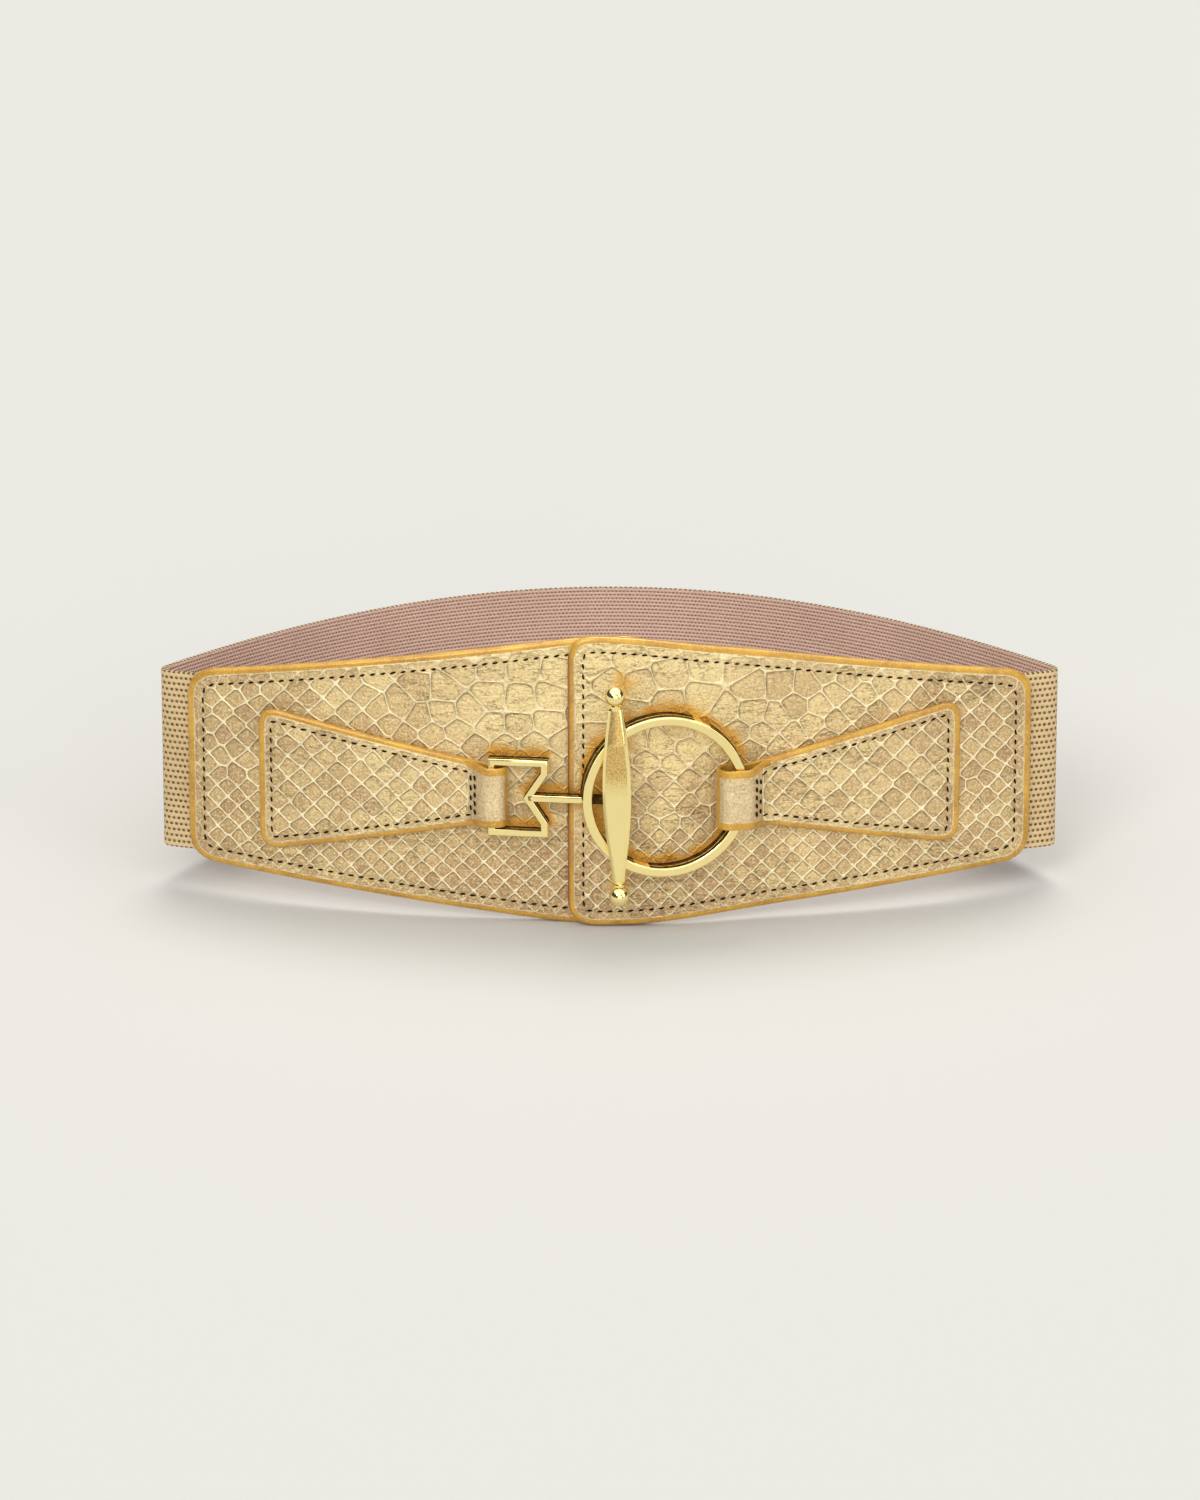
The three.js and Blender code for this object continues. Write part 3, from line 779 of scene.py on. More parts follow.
def scale_skin(outline, cut_at, centres, back_at, thickness, name, seed, pressed_at, glow_shade_at):
    """A skin of embossed scales over the front of a piece: a raised ridge runs between panes that
    each lie deeper at their upper end, as overlapping scales do"""
    chance = random.Random(seed)
    tree = tree_of(centres)
    inside = depth_inside(outline)
    bm = bmesh.new()
    for i, centre in enumerate(centres):
        if inside(centre.x, centre.y) < -9:
            continue
        nearest = tree.find_n((centre.x, centre.y, 0), SCALE_NEIGHBOURS)
        corners = cell_polygon(centre, [centres[j] for _, j, _ in nearest if j != i], SCALE_REACH)
        if len(corners) >= 3:
            bm.faces.new([bm.verts.new((c.x, 0.0, c.y)) for c in corners])
    bmesh.ops.remove_doubles(bm, verts=bm.verts, dist=CORNER_MERGE)
    for start, inward in outline_sides(outline):
        origin = start + inward * SKIN_MARGIN
        if cut_at is not None and abs(inward.x) > 0.99 and abs(start.x) < cut_at + 0.5:
            origin = start
        cut(bm, (origin.x, 0.0, origin.y), (-inward.x, 0.0, -inward.y), clear=True)
    bmesh.ops.remove_doubles(bm, verts=bm.verts, dist=BORDER_MERGE)
    bmesh.ops.dissolve_degenerate(bm, dist=0.02, edges=bm.edges)
    for f in list(bm.faces):
        if f.calc_area() < 0.02:
            bm.faces.remove(f)
    bmesh.ops.delete(bm, geom=[v for v in bm.verts if not v.link_faces], context="VERTS")
    for f in bm.faces:
        f.normal_update()
    bmesh.ops.reverse_faces(bm, faces=[f for f in bm.faces if f.normal.y > 0])
    join_small_cells(bm, SMALLEST_SCALE)
    corners = set(bm.verts)
    inner = [e for e in bm.edges if not e.is_boundary]
    long_edges = [e for e in inner if e.calc_length() > LONG_SIDE]
    short_edges = [e for e in inner if SHORT_SIDE < e.calc_length() <= LONG_SIDE]
    bmesh.ops.bisect_edges(bm, edges=long_edges, cuts=3)
    bmesh.ops.bisect_edges(bm, edges=short_edges, cuts=1)
    for v in bm.verts:
        if v not in corners:
            v.co.x += chance.uniform(-WAVER, WAVER)
            v.co.z += chance.uniform(-WAVER, WAVER)
    labels = ("ridge", "ridge_shadow", "raised", "clasp_glow_shade", "painted_sheen_at")
    ridge, ridge_shadow, raised, clasp_glow_shade, painted_sheen = [bm.verts.layers.float.new(label) for label in labels]
    tone = bm.faces.layers.float.new("tone")
    pane = bm.faces.layers.int.new("pane")
    for v in bm.verts:
        v[ridge] = v[raised] = 1.0
    for f in bm.faces:
        f[tone] = chance.random()
        f.smooth = True
    tops = list(bm.faces)
    for level, (inset, up, paleness, darkness) in enumerate(RIDGE_STEPS):
        groups = {}
        for f in tops:
            room = room_in(f)
            wide = 1.0 + (0.7 * f[tone] - 0.2 if level == 0 else 0.0)
            shares = (1.5, 1.25, 1.0, 0.8, 0.5, 0.3, 0.15)
            share = next((s for s in shares if s <= wide and room > inset * s * 1.15), None)
            if share:
                groups.setdefault(share, []).append(f)
            else:
                for v in f.verts:
                    v[ridge] = 0.3
                    v[ridge_shadow] = 0.0
        tops = []
        for share, faces in groups.items():
            bmesh.ops.inset_individual(bm, faces=faces, thickness=inset * share, use_even_offset=True)
            tops += faces
        for f in bm.faces:
            f[pane] = 0
        for f in tops:
            f[pane] = 1
        short = {e for f in tops for e in f.edges if e.calc_length() < SHORTEST_SIDE}
        bmesh.ops.collapse(bm, edges=list(short))
        tops = [f for f in bm.faces if f[pane]]
        if level == 0:
            rims = {v for f in tops for v in f.verts}
            bmesh.ops.smooth_vert(bm, verts=list(rims), factor=0.5, use_axis_x=True, use_axis_z=True)
            round_rims = [v for v in rims if painted_sheen_at(v.co.x, v.co.z) > 0.78]
            for _ in range(3):
                bmesh.ops.smooth_vert(bm, verts=round_rims, factor=0.5, use_axis_x=True, use_axis_z=True)
        for f in tops:
            lean = 0.16 + 0.12 * f[tone]
            middle = f.calc_center_median()
            size = math.sqrt(f.calc_area()) / 1.4
            for v in f.verts:
                upward = (0.92 * (v.co.z - middle.z) - 0.4 * (v.co.x - middle.x)) / size
                v[ridge] = paleness
                # Painted shadow under the ridge, darkest towards the pane's upper left
                v[ridge_shadow] = darkness * (0.15 + 0.85 * ease((upward + 0.35) / 0.9))
                v[raised] = max(0.0, up - (lean * upward if up < 0.6 else 0.0))
    for v in bm.verts:
        pressed = pressed_at(v.co.x, v.co.z)
        v[ridge] *= 0.25 + 0.75 * pressed
        v[ridge_shadow] *= pressed
        # Painted reflection and shadow of the clasp
        v[clasp_glow_shade] = glow_shade_at(v.co.x, v.co.z)
        v[painted_sheen] = painted_sheen_at(v.co.x, v.co.z)
        v.co.y = back_at(v.co.x) - thickness - SKIN_PROUD - SCALE_RELIEF * v[raised] * pressed
    large = [f for f in bm.faces if len(f.verts) > 4]
    bmesh.ops.triangulate(bm, faces=large, quad_method="BEAUTY", ngon_method="BEAUTY")
    border = [e for e in bm.edges if e.is_boundary]
    made = bmesh.ops.extrude_edge_only(bm, edges=border)
    for v in verts_in(made["geom"]):
        v.co.y = back_at(v.co.x) - thickness + 0.3
    place(bm)
    finish_piece(bm, name, [SCALE_LEATHER], [], 180.0)


def along_outline(points, pitch, closed=True):
    """Evenly spaced places along a line, each with its direction"""
    ring = [*points, points[0]] if closed else list(points)
    lengths = [(ring[i + 1] - ring[i]).length for i in range(len(ring) - 1)]
    total = sum(lengths)
    count = max(2, round(total / pitch))
    places = []
    for k in range(count):
        target = total * (k + 0.5) / count
        i = 0
        while i < len(lengths) - 1 and target > lengths[i]:
            target -= lengths[i]
            i += 1
        way = (ring[i + 1] - ring[i]).normalized()
        places.append((ring[i] + way * target, way))
    return places


def stitches(places, face_at, name, seed):
    """Dark thread stitches lying in the leather, each a short rounded run with its ends sunk"""
    chance = random.Random(seed)
    bm = bmesh.new()
    for spot, way in places:
        made = bmesh.ops.create_uvsphere(bm, u_segments=8, v_segments=6, radius=0.5)
        turn = math.atan2(way.y, way.x) + math.radians(chance.uniform(4, 12))
        length = STITCH_LENGTH * chance.uniform(0.92, 1.08)
        shape = Matrix.Diagonal(Vector((length, 0.75, STITCH_WIDTH, 1.0)))
        move = Matrix.Translation((spot.x, 0.0, spot.y)) @ Matrix.Rotation(-turn, 4, "Y") @ shape
        bmesh.ops.transform(bm, matrix=move, verts=made["verts"])
        for v in made["verts"]:
            v.co.y = face_at(v.co.x) - 0.22 + v.co.y
    place(bm)
    finish_piece(bm, name, [THREAD], [], 180.0)


RING_LEFT = RING_MIDDLE - RING_DIAMETER / 2 + RING_WIRE / 2
RING_RIGHT = RING_MIDDLE + RING_DIAMETER / 2 - RING_WIRE / 2


def clasp_bars():
    """The bracket as seen from the front: each bar's two ends; then the toggle's"""
    left = -FRAME_REACH
    right = left + FRAME_LENGTH
    notch = right - NOTCH_DEPTH
    high = FRAME_HEIGHT / 2
    step = NOTCH_HEIGHT / 2
    upper = [(left, high), (right, high), (right, step), (notch, 0)]
    points = upper + [(x, -z) for x, z in upper[-2::-1]]
    bars = [(Vector(a), Vector(b), ROD_WIDTH / 2, 1.0) for a, b in zip(points, points[1:])]
    bars.append((Vector((notch, 0)), Vector((TOGGLE_MIDDLE, 0)), ROD_WIDTH / 2, 1.0))
    ends = [Vector((TOGGLE_MIDDLE, TOGGLE_RISE + side * (TOGGLE_HEIGHT / 2 - 3))) for side in (-1, 1)]
    bars.append((ends[0], ends[1], 2.6, 0.55))
    return bars


CLASP_BARS = clasp_bars()


def painted_glow_shade(distance, upward, strength, patch):
    """How strong the painted gold reflection and shadow are on the foil beside a bar of metal: a few
    millimetres above it in patches, hardly below it
    """
    reach = 0.6 + (2.7 + 2.6 * patch) * ease((upward + 0.2) / 1.1)
    return strength * (1 - ease((distance - 0.2) / reach)) * (0.9 + 0.35 * patch)


def clasp_glow_shade_at(x, z):
    """Painted reflection and shadow of the gold clasp on the leather: 1 right behind the clasp, falling to 0
    a few millimetres beside it
    """
    spot = Vector((x, z + CLASP_DROP))
    patch = noise.noise(Vector((x / 5.5, z / 5.5, 3.0)))
    radial = spot - Vector((RING_MIDDLE, RING_RISE))
    off = radial.length - (RING_DIAMETER - RING_WIRE) / 2
    upward = radial.y / max(radial.length, 0.1) * (1 if off > 0 else -1)
    value = painted_glow_shade(abs(off) - RING_WIRE / 2, upward, 1.0, patch)
    # Inside the ring, left of the toggle, the leather gets painted gold reflection and shadow throughout
    if off < 0 and x < TOGGLE_MIDDLE - 2:
        value = max(value, 0.62)
    for a, b, half, strength in CLASP_BARS:
        share = min(max((spot - a).dot(b - a) / (b - a).length_squared, 0.0), 1.0)
        away = spot - a.lerp(b, share)
        value = max(value, painted_glow_shade(away.length - half, away.y / max(away.length, 0.1), strength, patch))
    return value


def painted_sheen_at(x, z):
    """How much painted sheen the foil gets, a painted reflection of the room: most in the upper
    middle, least low down beside the lap and at the outer ends"""
    bright = math.exp(-((x / 62) ** 2)) * ease((z + 14) / 34)
    dull = (0.8 if x < 0 else 0.55) * math.exp(-(((abs(x) - 22) / 42) ** 2)) * ease((-z - 8) / 22)
    return 0.5 + 0.5 * bright - 0.42 * dull - 0.2 * ease((abs(x) - 95) / 30)


# Leather fronts


def stitch_press(inside, seam_inset):
    """How strongly the scales stand out: fully inside the stitch line, faintly outside it, not under it"""

    def pressed_at(x, z):
        deep = inside(x, z)
        margin = 0.4 + 0.6 * ease((deep - seam_inset + 0.2) / 1.3)
        return margin * (1 - 0.85 * math.exp(-(((deep - seam_inset) / 0.55) ** 2)))

    return pressed_at


def make_front(side, rise, back_at, name, seed):
    outline = panel_outline(side, rise)
    slab(outline, PANEL_THICKNESS, back_at, name, dark_lap_edge=side > 0)

    def pitch_at(x, z):
        return 6.7 + 7.0 * ease((z + 18) / 50) * math.exp(-((x / 98) ** 2))

    def jitter_at(x, z):
        return 0.035 + 0.06 * ease((z + 8) / 30) + 0.05 * ease((abs(x) - 90) / 30)

    def looseness_at(x, z):
        return 0.12 + 0.88 * ease((z + 14) / 22) * (1 - 0.8 * ease((abs(x) - 70) / 35))

    centres = scale_centres(outline, pitch_at, jitter_at, seed)
    centres = pushed_apart(centres, pitch_at, looseness_at)
    press = stitch_press(depth_inside(outline), STITCH_INSET)
    skin_name = name + "_scales"
    scale_skin(outline, None, centres, back_at, PANEL_THICKNESS, skin_name, seed, press, clasp_glow_shade_at)
    seam = inset_outline(outline, STITCH_INSET)
    places = along_outline(seam, STITCH_PITCH)
    stitches(places, lambda x: back_at(x) - PANEL_THICKNESS, name + "_stitches", seed)


make_front(-1, LEFT_PANEL_RISE, left_back, "left_front", 11)
make_front(1, RIGHT_PANEL_RISE, right_back, "right_front", 23)


# Leather tabs


def make_tab(side, name, seed, face_at, *, fold_reach, held, held_to, wide_drop, cross_at, pitch):
    """A tapered tab whose narrow end is folded round what it holds; x is counted outwards from the middle"""
    seam_x = held_to + FOLD_RUN_OUT
    height = TAB_THICKNESS + held + 2 * GAP
    tip = height / 2
    middle_x = fold_reach + tip

    def spread(x):
        """Lower and upper end of the tab at a place along it"""
        share = max(0.0, (x - held_to) / (TAB_REACH - held_to))
        narrow, wide = TAB_NARROW_HEIGHT / 2, TAB_WIDE_HEIGHT / 2
        low = -CLASP_DROP - narrow + share * (-wide_drop - wide + CLASP_DROP + narrow)
        high = -CLASP_DROP + narrow + share * (-wide_drop + wide + CLASP_DROP - narrow)
        return low, high

    def back_y(x):
        return face_at(side * x) - GAP

    def front_y(x):
        return back_y(x) - height + (height - TAB_THICKNESS) * ease((x - held_to) / FOLD_RUN_OUT)

    def outline_from(start):
        low, high = spread(start)
        lower_corner = Vector((TAB_REACH, spread(TAB_REACH)[0]))
        upper_corner = Vector((TAB_REACH, spread(TAB_REACH)[1]))
        lower_way = (Vector((start, low)) - lower_corner).normalized()
        upper_way = (Vector((start, high)) - upper_corner).normalized()
        points = [Vector((start, low)), lower_corner + lower_way * TAB_CORNER]
        points += arc(points[-1], lower_corner, lower_corner + Vector((0, TAB_CORNER)))
        points += [upper_corner - Vector((0, TAB_CORNER))]
        points += arc(points[-1], upper_corner, upper_corner + upper_way * TAB_CORNER)
        points += [Vector((start, high))]
        return tidy_outline(points, side)

    outline = outline_from(seam_x)
    slab(outline, TAB_THICKNESS, lambda x: back_y(abs(x)), name, seam_x)
    fold_line = []
    runs = 14
    buried = seam_x + 3.0
    for k in range(runs + 1):
        x = buried + (middle_x - buried) * k / runs
        slope = (front_y(x + 0.1) - front_y(x - 0.1)) / 0.2
        sunk = 0.3 * ease((x - seam_x) / 1.5)
        inwards = Vector((-slope, 1.0)).normalized()
        fold_line.append((Vector((x, front_y(x))) + inwards * (TAB_LAYER / 2 + sunk), sunk))
    turns = 14
    radius = tip - TAB_LAYER / 2
    for k in range(1, turns):
        angle = math.pi * k / turns
        x, y = middle_x - radius * math.sin(angle), back_y(middle_x) - tip - radius * math.cos(angle)
        fold_line.append((Vector((x, y)), 0.0))
    for k in range(runs + 1):
        x = middle_x + (buried - middle_x) * k / runs
        sunk = 0.3 * ease((x - seam_x) / 1.5)
        fold_line.append((Vector((x, back_y(x) - TAB_LAYER / 2 - sunk)), sunk))
    fold_strip(side, fold_line, spread, fold_reach, name + "_fold")

    skin_start = cross_at + STITCH_WIDTH
    skin_outline = outline_from(skin_start)
    centres = scale_centres(outline, lambda x, z: pitch, lambda x, z: TAB_JITTER, seed)
    press = stitch_press(depth_inside(outline_from(seam_x - 12.0)), TAB_STITCH_INSET)
    scale_skin(
        skin_outline, skin_start, centres, lambda x: front_y(abs(x)) + TAB_THICKNESS, TAB_THICKNESS,
        name + "_scales", seed, press, lambda x, z: 0.0,
    )
    seam = inset_outline(outline_from(cross_at - TAB_STITCH_INSET), TAB_STITCH_INSET)
    places = along_outline(seam, STITCH_PITCH)
    low, high = spread(cross_at)
    second_ends = (high - TAB_STITCH_INSET, low + TAB_STITCH_INSET)
    second = [Vector((side * (cross_at - 1.3), z)) for z in second_ends]
    places += along_outline(second, STITCH_PITCH * 0.8, closed=False)
    stitches(places, lambda x: front_y(abs(x)), name + "_stitches", seed)


def fold_strip(side, line, spread, fold_reach, name):
    """Leather swept along a line seen from above; its rims are painted as the edges are, and the tip
    of the fold gets the same ochre as painted shade"""
    corner = 0.5
    half = TAB_LAYER / 2 - corner
    section = []
    for across, end, start in ((half, 1, 0), (-half, 1, 90), (-half, -1, 180), (half, -1, 270)):
        turns = [math.radians(start + 30 * k) for k in range(4)]
        section += [(across + corner * math.cos(a), end, corner * math.sin(a)) for a in turns]
        if start == 90:
            section += [(-TAB_LAYER / 2, 1, -EDGE_BAND), (-TAB_LAYER / 2, -1, EDGE_BAND)]
    section += [(TAB_LAYER / 2, -1, EDGE_BAND), (TAB_LAYER / 2, 1, -EDGE_BAND)]
    bm = bmesh.new()
    previous = None
    for i, (point, sunk) in enumerate(line):
        before = line[max(0, i - 1)][0]
        after = line[min(len(line) - 1, i + 1)][0]
        way = (after - before).normalized()
        normal = Vector((-way.y, way.x))
        low, high = spread(point.x)
        ring = []
        for across, end, up in section:
            spot = point + normal * across
            z = (high - corner - sunk if end > 0 else low + corner + sunk) + up
            ring.append(bm.verts.new((side * spot.x, spot.y, z)))
        edges = closed_edges(bm, ring)
        if previous:
            bmesh.ops.bridge_loops(bm, edges=previous + edges)
        previous = edges
    bmesh.ops.holes_fill(bm, edges=bm.edges, sides=0)
    bmesh.ops.recalc_face_normals(bm, faces=bm.faces)
    for f in bm.faces:
        middle = f.calc_center_median()
        low, high = spread(abs(middle.x))
        rim = min(high - middle.z, middle.z - low) < EDGE_BAND
        # The tip of the fold gets the ochre as painted shade
        tip = abs(middle.x) < fold_reach + 1.1
        f.material_index = 1 if rim or tip else 0
    place(bm)
    finish_piece(bm, name, [MARGIN_LEATHER, EDGE_PAINT_AND_FOLD_SHADE], [], 50.0)


make_tab(
    -1, "left_tab", 31, left_face, fold_reach=33.0, held=ROD_DEPTH + LEAN_ROOM,
    held_to=FRAME_REACH + ROD_WIDTH / 2 + GAP, wide_drop=1.4, cross_at=45.0, pitch=7.9,
)
make_tab(
    1, "right_tab", 47, right_face, fold_reach=34.5, held=RING_DEPTH + LEAN_ROOM,
    held_to=RING_RIGHT + RING_WIRE / 2 + GAP, wide_drop=-1.0, cross_at=49.0, pitch=9.0,
)


# Elastic band


def quadratic(a, past, b, steps):
    """Places and directions along a quadratic curve, both ends included"""
    shares = [k / steps for k in range(steps + 1)]
    return [(on_curve(a, past, b, t), ((past - a) * (1 - t) + (b - past) * t).normalized()) for t in shares]


def bow(depth, start, end, steps):
    def at(product):
        return -depth * (1 - product / CORNER_REACH**2)

    return quadratic(
        Vector((start, at(start * start))),
        Vector(((start + end) / 2, at(start * end))),
        Vector((end, at(end * end))),
        steps,
    )


def band_route():
    """Places and directions along the middle of the band, from its left end round the back to its
    right end"""

    def fold_on(depth):
        return CORNER_REACH - FOLD_LENGTH * math.cos(math.atan(2 * depth / CORNER_REACH))

    front = fold_on(FRONT_DEPTH)
    back = fold_on(BACK_DEPTH)
    left = bow(FRONT_DEPTH, -BAND_REACH, -front, 8)
    behind = bow(-BACK_DEPTH, -back, back, 90)
    right = bow(FRONT_DEPTH, front, BAND_REACH, 8)
    left_fold = quadratic(left[-1][0], Vector((-CORNER_REACH, 0)), behind[0][0], 12)
    right_fold = quadratic(behind[-1][0], Vector((CORNER_REACH, 0)), right[0][0], 12)
    return left + left_fold[1:] + behind[1:] + right_fold[1:] + right[1:]


def make_band():
    half = BAND_THICKNESS / 2
    section = []
    for side, ribs, depth in ((1, OUTER_RIBS, 0.16), (-1, INNER_RIBS, 0.16)):
        points = []
        steps = 6 if side > 0 else 4
        for k in range(ribs * steps + 1):
            z = -BAND_WIDTH / 2 + BAND_WIDTH * k / (ribs * steps)
            round_off = abs(math.sin(math.pi * k / steps))
            points.append((side * (half - depth * (1 - round_off**0.7)), z))
        section += points if side > 0 else points[::-1]
    bm = bmesh.new()
    uv = bm.loops.layers.uv.new("weave")
    run = 0.0
    last = None
    previous = None
    runs = {}
    for point, way in band_route():
        outward = Vector((-way.y, way.x))
        if last is not None:
            run += (point - last).length
        last = point
        ring = []
        for across, z in section:
            spot = point + outward * across
            vert = bm.verts.new((spot.x, spot.y, z))
            runs[vert] = (run, z)
            ring.append(vert)
        if previous:
            for k in range(len(ring)):
                j = (k + 1) % len(ring)
                face = bm.faces.new((previous[k], previous[j], ring[j], ring[k]))
                face.material_index = 0 if k < OUTER_RIBS * 6 + 1 else 1
        else:
            bm.faces.new(ring[::-1])
        previous = ring
    bm.faces.new(previous)
    bmesh.ops.recalc_face_normals(bm, faces=bm.faces)
    for f in bm.faces:
        for loop in f.loops:
            loop[uv].uv = runs[loop.vert]
    place(bm)
    finish_piece(bm, "elastic_webbing", [OUTER_WEBBING, INNER_WEBBING], ["elastic_band"], 60.0)


make_band()


# Clasp

ROD_Y = left_face(-FRAME_REACH) - GAP - TAB_LAYER - GAP - (ROD_DEPTH + LEAN_ROOM) / 2
LAP_EDGE_Y = right_face(-PANEL_LAP) - GAP - ROD_DEPTH / 2
BRACKET_YAW = math.atan2(ROD_Y - LAP_EDGE_Y, FRAME_REACH - PANEL_LAP)


def bracket_y(x):
    return ROD_Y - (x + FRAME_REACH) * math.tan(BRACKET_YAW)


RING_RIGHT_Y = right_face(RING_RIGHT) - GAP - TAB_LAYER - GAP - (RING_DEPTH + LEAN_ROOM) / 2
SHANK_FRONT = bracket_y(RING_LEFT + RING_WIRE / 2) - ROD_DEPTH / 2 / math.cos(BRACKET_YAW)
RING_LEFT_Y = SHANK_FRONT - GAP - RING_DEPTH / 2
RING_YAW = math.atan2(RING_RIGHT_Y - RING_LEFT_Y, RING_RIGHT - RING_LEFT)


def ring_y(x):
    return RING_LEFT_Y + (x - RING_LEFT) * math.tan(RING_YAW)


def darken_walls(bm, depth, upward_at=None):
    """Gives the side walls of a bar, which lie between its front and back, two bands of painted dark
    reflection with a gold line between them. Where upward_at is given, only walls that face upwards are
    darkened."""
    for share in (GOLD_LINE_FROM, GOLD_LINE_TO):
        cut(bm, (0, depth * (share - 0.5), 0), (0, 1, 0))
    for f in bm.faces:
        f.normal_update()
        middle = f.calc_center_median()
        share = middle.y / depth + 0.5
        upward = upward_at(middle) if upward_at else f.normal.z
        gold_line = GOLD_LINE_FROM < share < GOLD_LINE_TO
        if abs(f.normal.y) < 0.75 and upward > 0.02 and not gold_line:
            f.material_index = 1


def make_ring():
    bm = bmesh.new()
    bmesh.ops.create_grid(bm, x_segments=1, y_segments=1, size=0.5)
    bmesh.ops.scale(bm, vec=(RING_WIRE, RING_DEPTH, 1.0), verts=bm.verts)
    bmesh.ops.translate(bm, vec=(RING_DIAMETER / 2 - RING_WIRE / 2, 0.0, 0.0), verts=bm.verts)
    corners = list(bm.verts)
    bmesh.ops.bevel(bm, geom=corners, offset=0.55, segments=4, profile=0.5, affect="VERTICES", material=-1)
    outline = list(bm.edges)
    bmesh.ops.delete(bm, geom=list(bm.faces), context="FACES_ONLY")
    bmesh.ops.spin(
        bm, geom=[*bm.verts, *outline], axis=(0, 1, 0), cent=(0, 0, 0), angle=math.tau, steps=144,
        use_merge=True,
    )
    bmesh.ops.remove_doubles(bm, verts=bm.verts, dist=1e-3)
    bmesh.ops.recalc_face_normals(bm, faces=bm.faces)
    middle_radius = (RING_DIAMETER - RING_WIRE) / 2

    def upward_at(spot):
        """How far a wall of the ring faces upwards; not at all at the two places where it flashes"""
        radius = math.hypot(spot.x, spot.z)
        turn = math.degrees(math.atan2(spot.z, spot.x))
        if any(abs(turn - flash) < 6 for flash in RING_FLASHES):
            return 0.0
        return spot.z / radius * (1 if radius > middle_radius else -1)

    darken_walls(bm, RING_DEPTH, upward_at)
    where = Matrix.Translation((RING_MIDDLE, ring_y(RING_MIDDLE), RING_RISE - CLASP_DROP))
    place(bm, where @ Matrix.Rotation(RING_YAW, 4, "Z"))
    finish_piece(bm, "turned_ring", [GILT, DARK_GILT], ["clasp_ring"], 60.0)


make_ring()


def grown(corners, distance):
    """A polygon with its sides moved out by a distance"""
    out = []
    count = len(corners)
    for i, here in enumerate(corners):
        into = (here - corners[i - 1]).normalized()
        out_of = (corners[(i + 1) % count] - here).normalized()
        mitre = Vector((into.y + out_of.y, -into.x - out_of.x)).normalized()
        share = mitre.x * out_of.y - mitre.y * out_of.x
        out.append(here + mitre * (distance / share))
    return out


def cast_bar(bm, outline, depth, bevel, holes=(), segments=3):
    """A flat casting with rounded edges, drawn from the front with its middle at y = 0"""
    before = set(bm.verts)
    loops = []
    for ring in (outline, *holes):
        verts = [bm.verts.new((p.x, -depth / 2, p.y)) for p in ring]
        loops.append(closed_edges(bm, verts))
    if holes:
        faces = bmesh.ops.bridge_loops(bm, edges=[e for ring in loops for e in ring])["faces"]
    else:
        faces = bmesh.ops.contextual_create(bm, geom=loops[0])["faces"]
    made = bmesh.ops.extrude_face_region(bm, geom=faces)
    bmesh.ops.translate(bm, vec=(0.0, depth, 0.0), verts=verts_in(made["geom"]))
    mine = [v for v in bm.verts if v not in before]
    own = {f for v in mine for f in v.link_faces}
    bmesh.ops.recalc_face_normals(bm, faces=list(own))
    edges = {e for f in own for e in f.edges}
    sharp = [e for e in edges if len(e.link_faces) == 2 and e.calc_face_angle() > 0.3]
    bmesh.ops.bevel(
        bm, geom=sharp, offset=bevel, segments=segments, profile=0.5, affect="EDGES", material=-1,
        clamp_overlap=True,
    )
    return [v for v in bm.verts if v not in before]


def rod(bm, radius, length, segments):
    made = bmesh.ops.create_cone(
        bm, cap_ends=True, segments=segments, radius1=radius, radius2=radius, depth=length
    )
    return made["verts"]


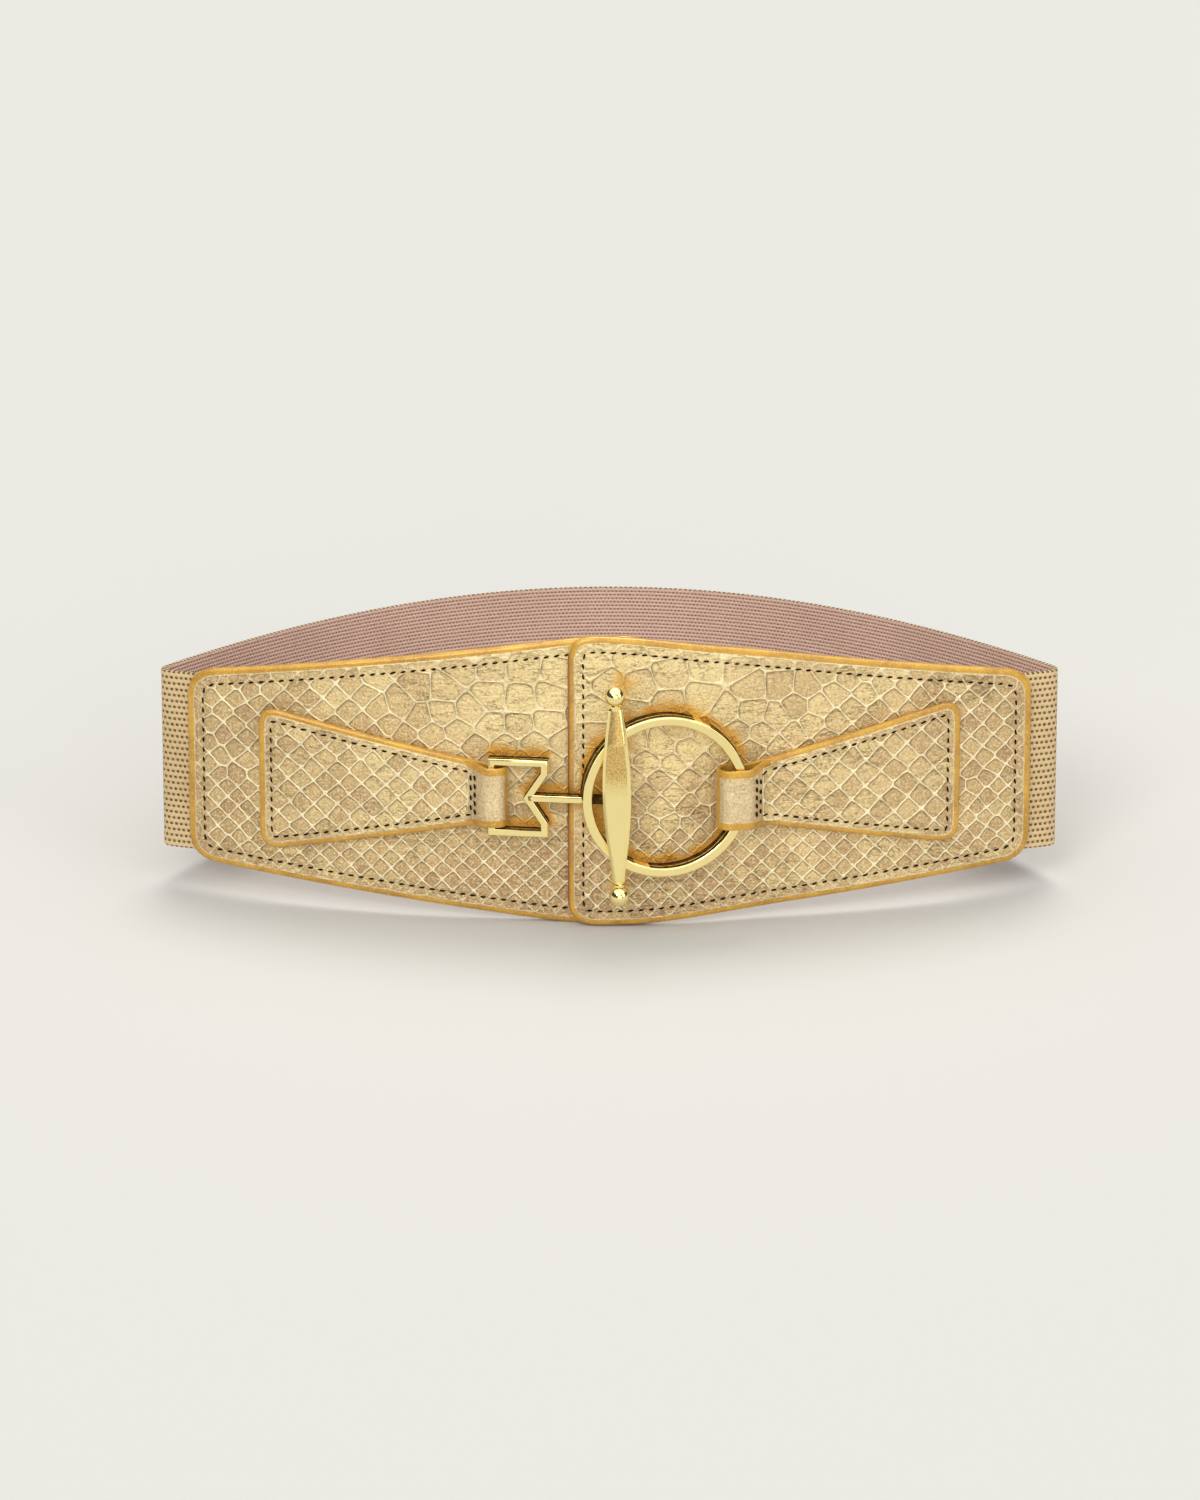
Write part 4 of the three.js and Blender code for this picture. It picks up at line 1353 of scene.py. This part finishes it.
def make_toggle_bracket():
    high = FRAME_HEIGHT / 2
    notch = NOTCH_HEIGHT / 2
    lower = [(0, -high), (FRAME_LENGTH, -high), (FRAME_LENGTH, -notch)]
    upper_side = [(x, -z) for x, z in reversed(lower)]
    corners = [Vector(spot) for spot in (*lower, (FRAME_LENGTH - NOTCH_DEPTH, 0), *upper_side)]
    bm = bmesh.new()
    upper = bm.verts.layers.float.new("upper")
    facet = bm.faces.layers.float.new("facet")
    half = ROD_WIDTH / 2
    cast_bar(bm, grown(corners, half), ROD_DEPTH, CAST_BEVEL, [grown(corners, -half)])
    shank_length = (FRAME_REACH + TOGGLE_MIDDLE) / math.cos(BRACKET_YAW) + STEM_DIAMETER / 2
    start = FRAME_LENGTH - NOTCH_DEPTH
    shank = [(start, -half), (shank_length, -half), (shank_length, half), (start, half)]
    cast_bar(bm, [Vector(spot) for spot in shank], ROD_DEPTH, CAST_BEVEL)
    # Beyond here the shank, inside the ring, gets the dark wall material all round as painted shade
    shaded_from = FRAME_REACH + RING_LEFT + 1.2
    for x in (shaded_from, shaded_from + 0.6):
        cut(bm, (x, 0, 0), (1, 0, 0))
    darken_walls(bm, ROD_DEPTH)
    for f in bm.faces:
        if f.calc_center_median().x > shaded_from + 0.3:
            f.material_index = 1
    toggle_back = ring_y(TOGGLE_MIDDLE - TOGGLE_WIDTH / 2) - RING_DEPTH / 2 / math.cos(RING_YAW) - GAP
    stand_off = (bracket_y(TOGGLE_MIDDLE) - toggle_back) / math.cos(BRACKET_YAW) + TOGGLE_THICKNESS / 2
    stem_x = shank_length - STEM_DIAMETER / 2
    stem = rod(bm, STEM_DIAMETER / 2, stand_off, 32)
    bmesh.ops.rotate(bm, matrix=Matrix.Rotation(math.pi / 2, 3, "X"), verts=stem)
    bmesh.ops.translate(bm, vec=(stem_x, -stand_off / 2, 0), verts=stem)
    blade_half = TOGGLE_HEIGHT / 2 - BALL_DIAMETER - NECK_LENGTH / 4
    right = [Vector((wide * TOGGLE_WIDTH / 2, along * blade_half)) for along, wide in BLADE_WIDTHS]
    left = [Vector((-p.x, p.y)) for p in reversed(right)]
    toggle = cast_bar(bm, right + left, TOGGLE_THICKNESS, TOGGLE_CHAMFER, segments=1)
    z = -blade_half + BLADE_STEP
    while z < blade_half:
        toggle = list(dict.fromkeys(toggle))
        faces = {f for v in toggle for f in v.link_faces}
        edges = {e for f in faces for e in f.edges}
        made = bmesh.ops.bisect_plane(
            bm, geom=[*toggle, *edges, *faces], plane_co=(0, 0, z), plane_no=(0, 0, 1), dist=1e-4
        )
        toggle += verts_in(made["geom_cut"])
        z += BLADE_STEP
    toggle = list(dict.fromkeys(toggle))
    for v in toggle:
        away = v.co.z / blade_half + 0.1
        fall = max(0.0, math.hypot(away, 0.06) - 0.06) * (1.0 if away > 0 else 0.5)
        thinner = 1 - fall * TOGGLE_CROWN / TOGGLE_THICKNESS
        v.co.y = TOGGLE_THICKNESS / 2 - (TOGGLE_THICKNESS / 2 - v.co.y) * thinner
        v[upper] = ease((v.co.z + 0.5) / 9)
    for f in {f for v in toggle for f in v.link_faces}:
        f.normal_update()
        f[facet] = 1.0 if f.normal.y < -0.9 else 0.0
    ball_at = (TOGGLE_HEIGHT - BALL_DIAMETER) / 2
    for sign in (-1, 1):
        neck = rod(bm, NECK_DIAMETER / 2, ball_at - blade_half + 1, 24)
        bmesh.ops.translate(bm, vec=(0, 0.3, sign * (ball_at + blade_half - 1) / 2), verts=neck)
        ball = bmesh.ops.create_uvsphere(bm, u_segments=40, v_segments=24, radius=BALL_DIAMETER / 2)
        bmesh.ops.translate(bm, vec=(0, 0, sign * ball_at), verts=ball["verts"])
        collar = rod(bm, COLLAR_RADIUS, 0.7, 32)
        bmesh.ops.translate(bm, vec=(0, 0.3, sign * (blade_half + 0.3)), verts=collar)
        toggle += neck + ball["verts"] + collar
    lean = Matrix.Rotation(-TOGGLE_LEAN, 4, "Y")
    bmesh.ops.transform(bm, matrix=Matrix.Translation((stem_x, -stand_off, TOGGLE_RISE)) @ lean, verts=toggle)
    where = Matrix.Translation((-FRAME_REACH, ROD_Y, -CLASP_DROP))
    place(bm, where @ Matrix.Rotation(-BRACKET_YAW, 4, "Z"))
    finish_piece(bm, "toggle_casting", [GILT, DARK_GILT], ["toggle_bracket"], 35.0)


make_toggle_bracket()


# Floor, light and camera


def make_floor():
    bm = bmesh.new()
    bmesh.ops.create_grid(bm, x_segments=2, y_segments=2, size=9.0)
    material, _, shader = new_material("pale_floor", 0.0, 0.95)
    shader.inputs["Base Color"].default_value = (0.555, 0.54, 0.505, 1)
    shader.inputs["Specular IOR Level"].default_value = 0.0
    floor = object_from(bm, "floor", [material])


def make_sun(name, towards, strength, angle, colour=(1.0, 0.98, 0.94)):
    """A distant soft lamp, so that the floor is lit evenly; towards is where it stands, seen from the belt"""
    light = bpy.data.lights.new(name, "SUN")
    light.energy = strength
    light.angle = math.radians(angle)
    light.color = colour
    lamp = bpy.data.objects.new(name, light)
    lamp.rotation_mode = "QUATERNION"
    lamp.rotation_quaternion = Vector(towards).to_track_quat("Z", "Y")
    bpy.context.scene.collection.objects.link(lamp)


def make_world():
    """A wide softbox overhead, and dim walls that polished metal mirrors as dark lines"""
    world = bpy.data.worlds.new("studio")
    bpy.context.scene.world = world
    world.use_nodes = True
    tree = world.node_tree
    background = tree.nodes["Background"]
    split = add(tree, "ShaderNodeSeparateXYZ")
    tree.links.new(add(tree, "ShaderNodeTexCoord").outputs["Generated"], split.inputs[0])
    ramp = add(tree, "ShaderNodeValToRGB")
    stops = ramp.color_ramp.elements
    stops[0].position = 0.0
    stops[0].color = (0.44, 0.41, 0.37, 1)
    stops[1].position = 1.0
    stops[1].color = (0.92, 0.96, 1.0, 1)
    for position, level in ((0.04, 0.24), (0.1, 0.05), (0.55, 0.05), (0.68, 0.9)):
        stop = stops.new(position)
        stop.color = (level * 0.92, level * 0.96, level, 1)
    tree.links.new(split.outputs["Z"], ramp.inputs[0])
    tree.links.new(ramp.outputs[0], background.inputs[0])
    background.inputs[1].default_value = 1.45


make_floor()
make_world()
make_sun("key", (-0.34, -0.72, 0.66), 1.05, 26.0)
make_sun("fill", (0.8, -0.55, 0.4), 0.55, 40.0)
make_sun("front", (0.1, -0.95, 0.22), 0.8, 45.0)
make_sun("back", (0.05, 0.42, 0.9), 1.25, 24.0, (1.0, 0.96, 0.92))
bpy.context.scene.view_settings.view_transform = "Standard"

ELEVATION = math.radians(24.6)
DISTANCE = 2.5
centre = (cad_low + cad_high) / 2
camera_data = bpy.data.cameras.new("camera")
camera = bpy.data.objects.new("camera", camera_data)
bpy.context.scene.collection.objects.link(camera)
back = Vector((0, -math.cos(ELEVATION), math.sin(ELEVATION)))
camera.location = centre + back * DISTANCE
camera.rotation_mode = "QUATERNION"
camera.rotation_quaternion = (-back).to_track_quat("-Z", "Y")
camera_data.sensor_width = 36.0
camera_data.lens = 181.67
camera_data.shift_x = -9.5 / 1500
camera_data.shift_y = -40.7 / 1500
camera_data.clip_start = 0.05
camera_data.clip_end = 50.0
bpy.context.scene.camera = camera
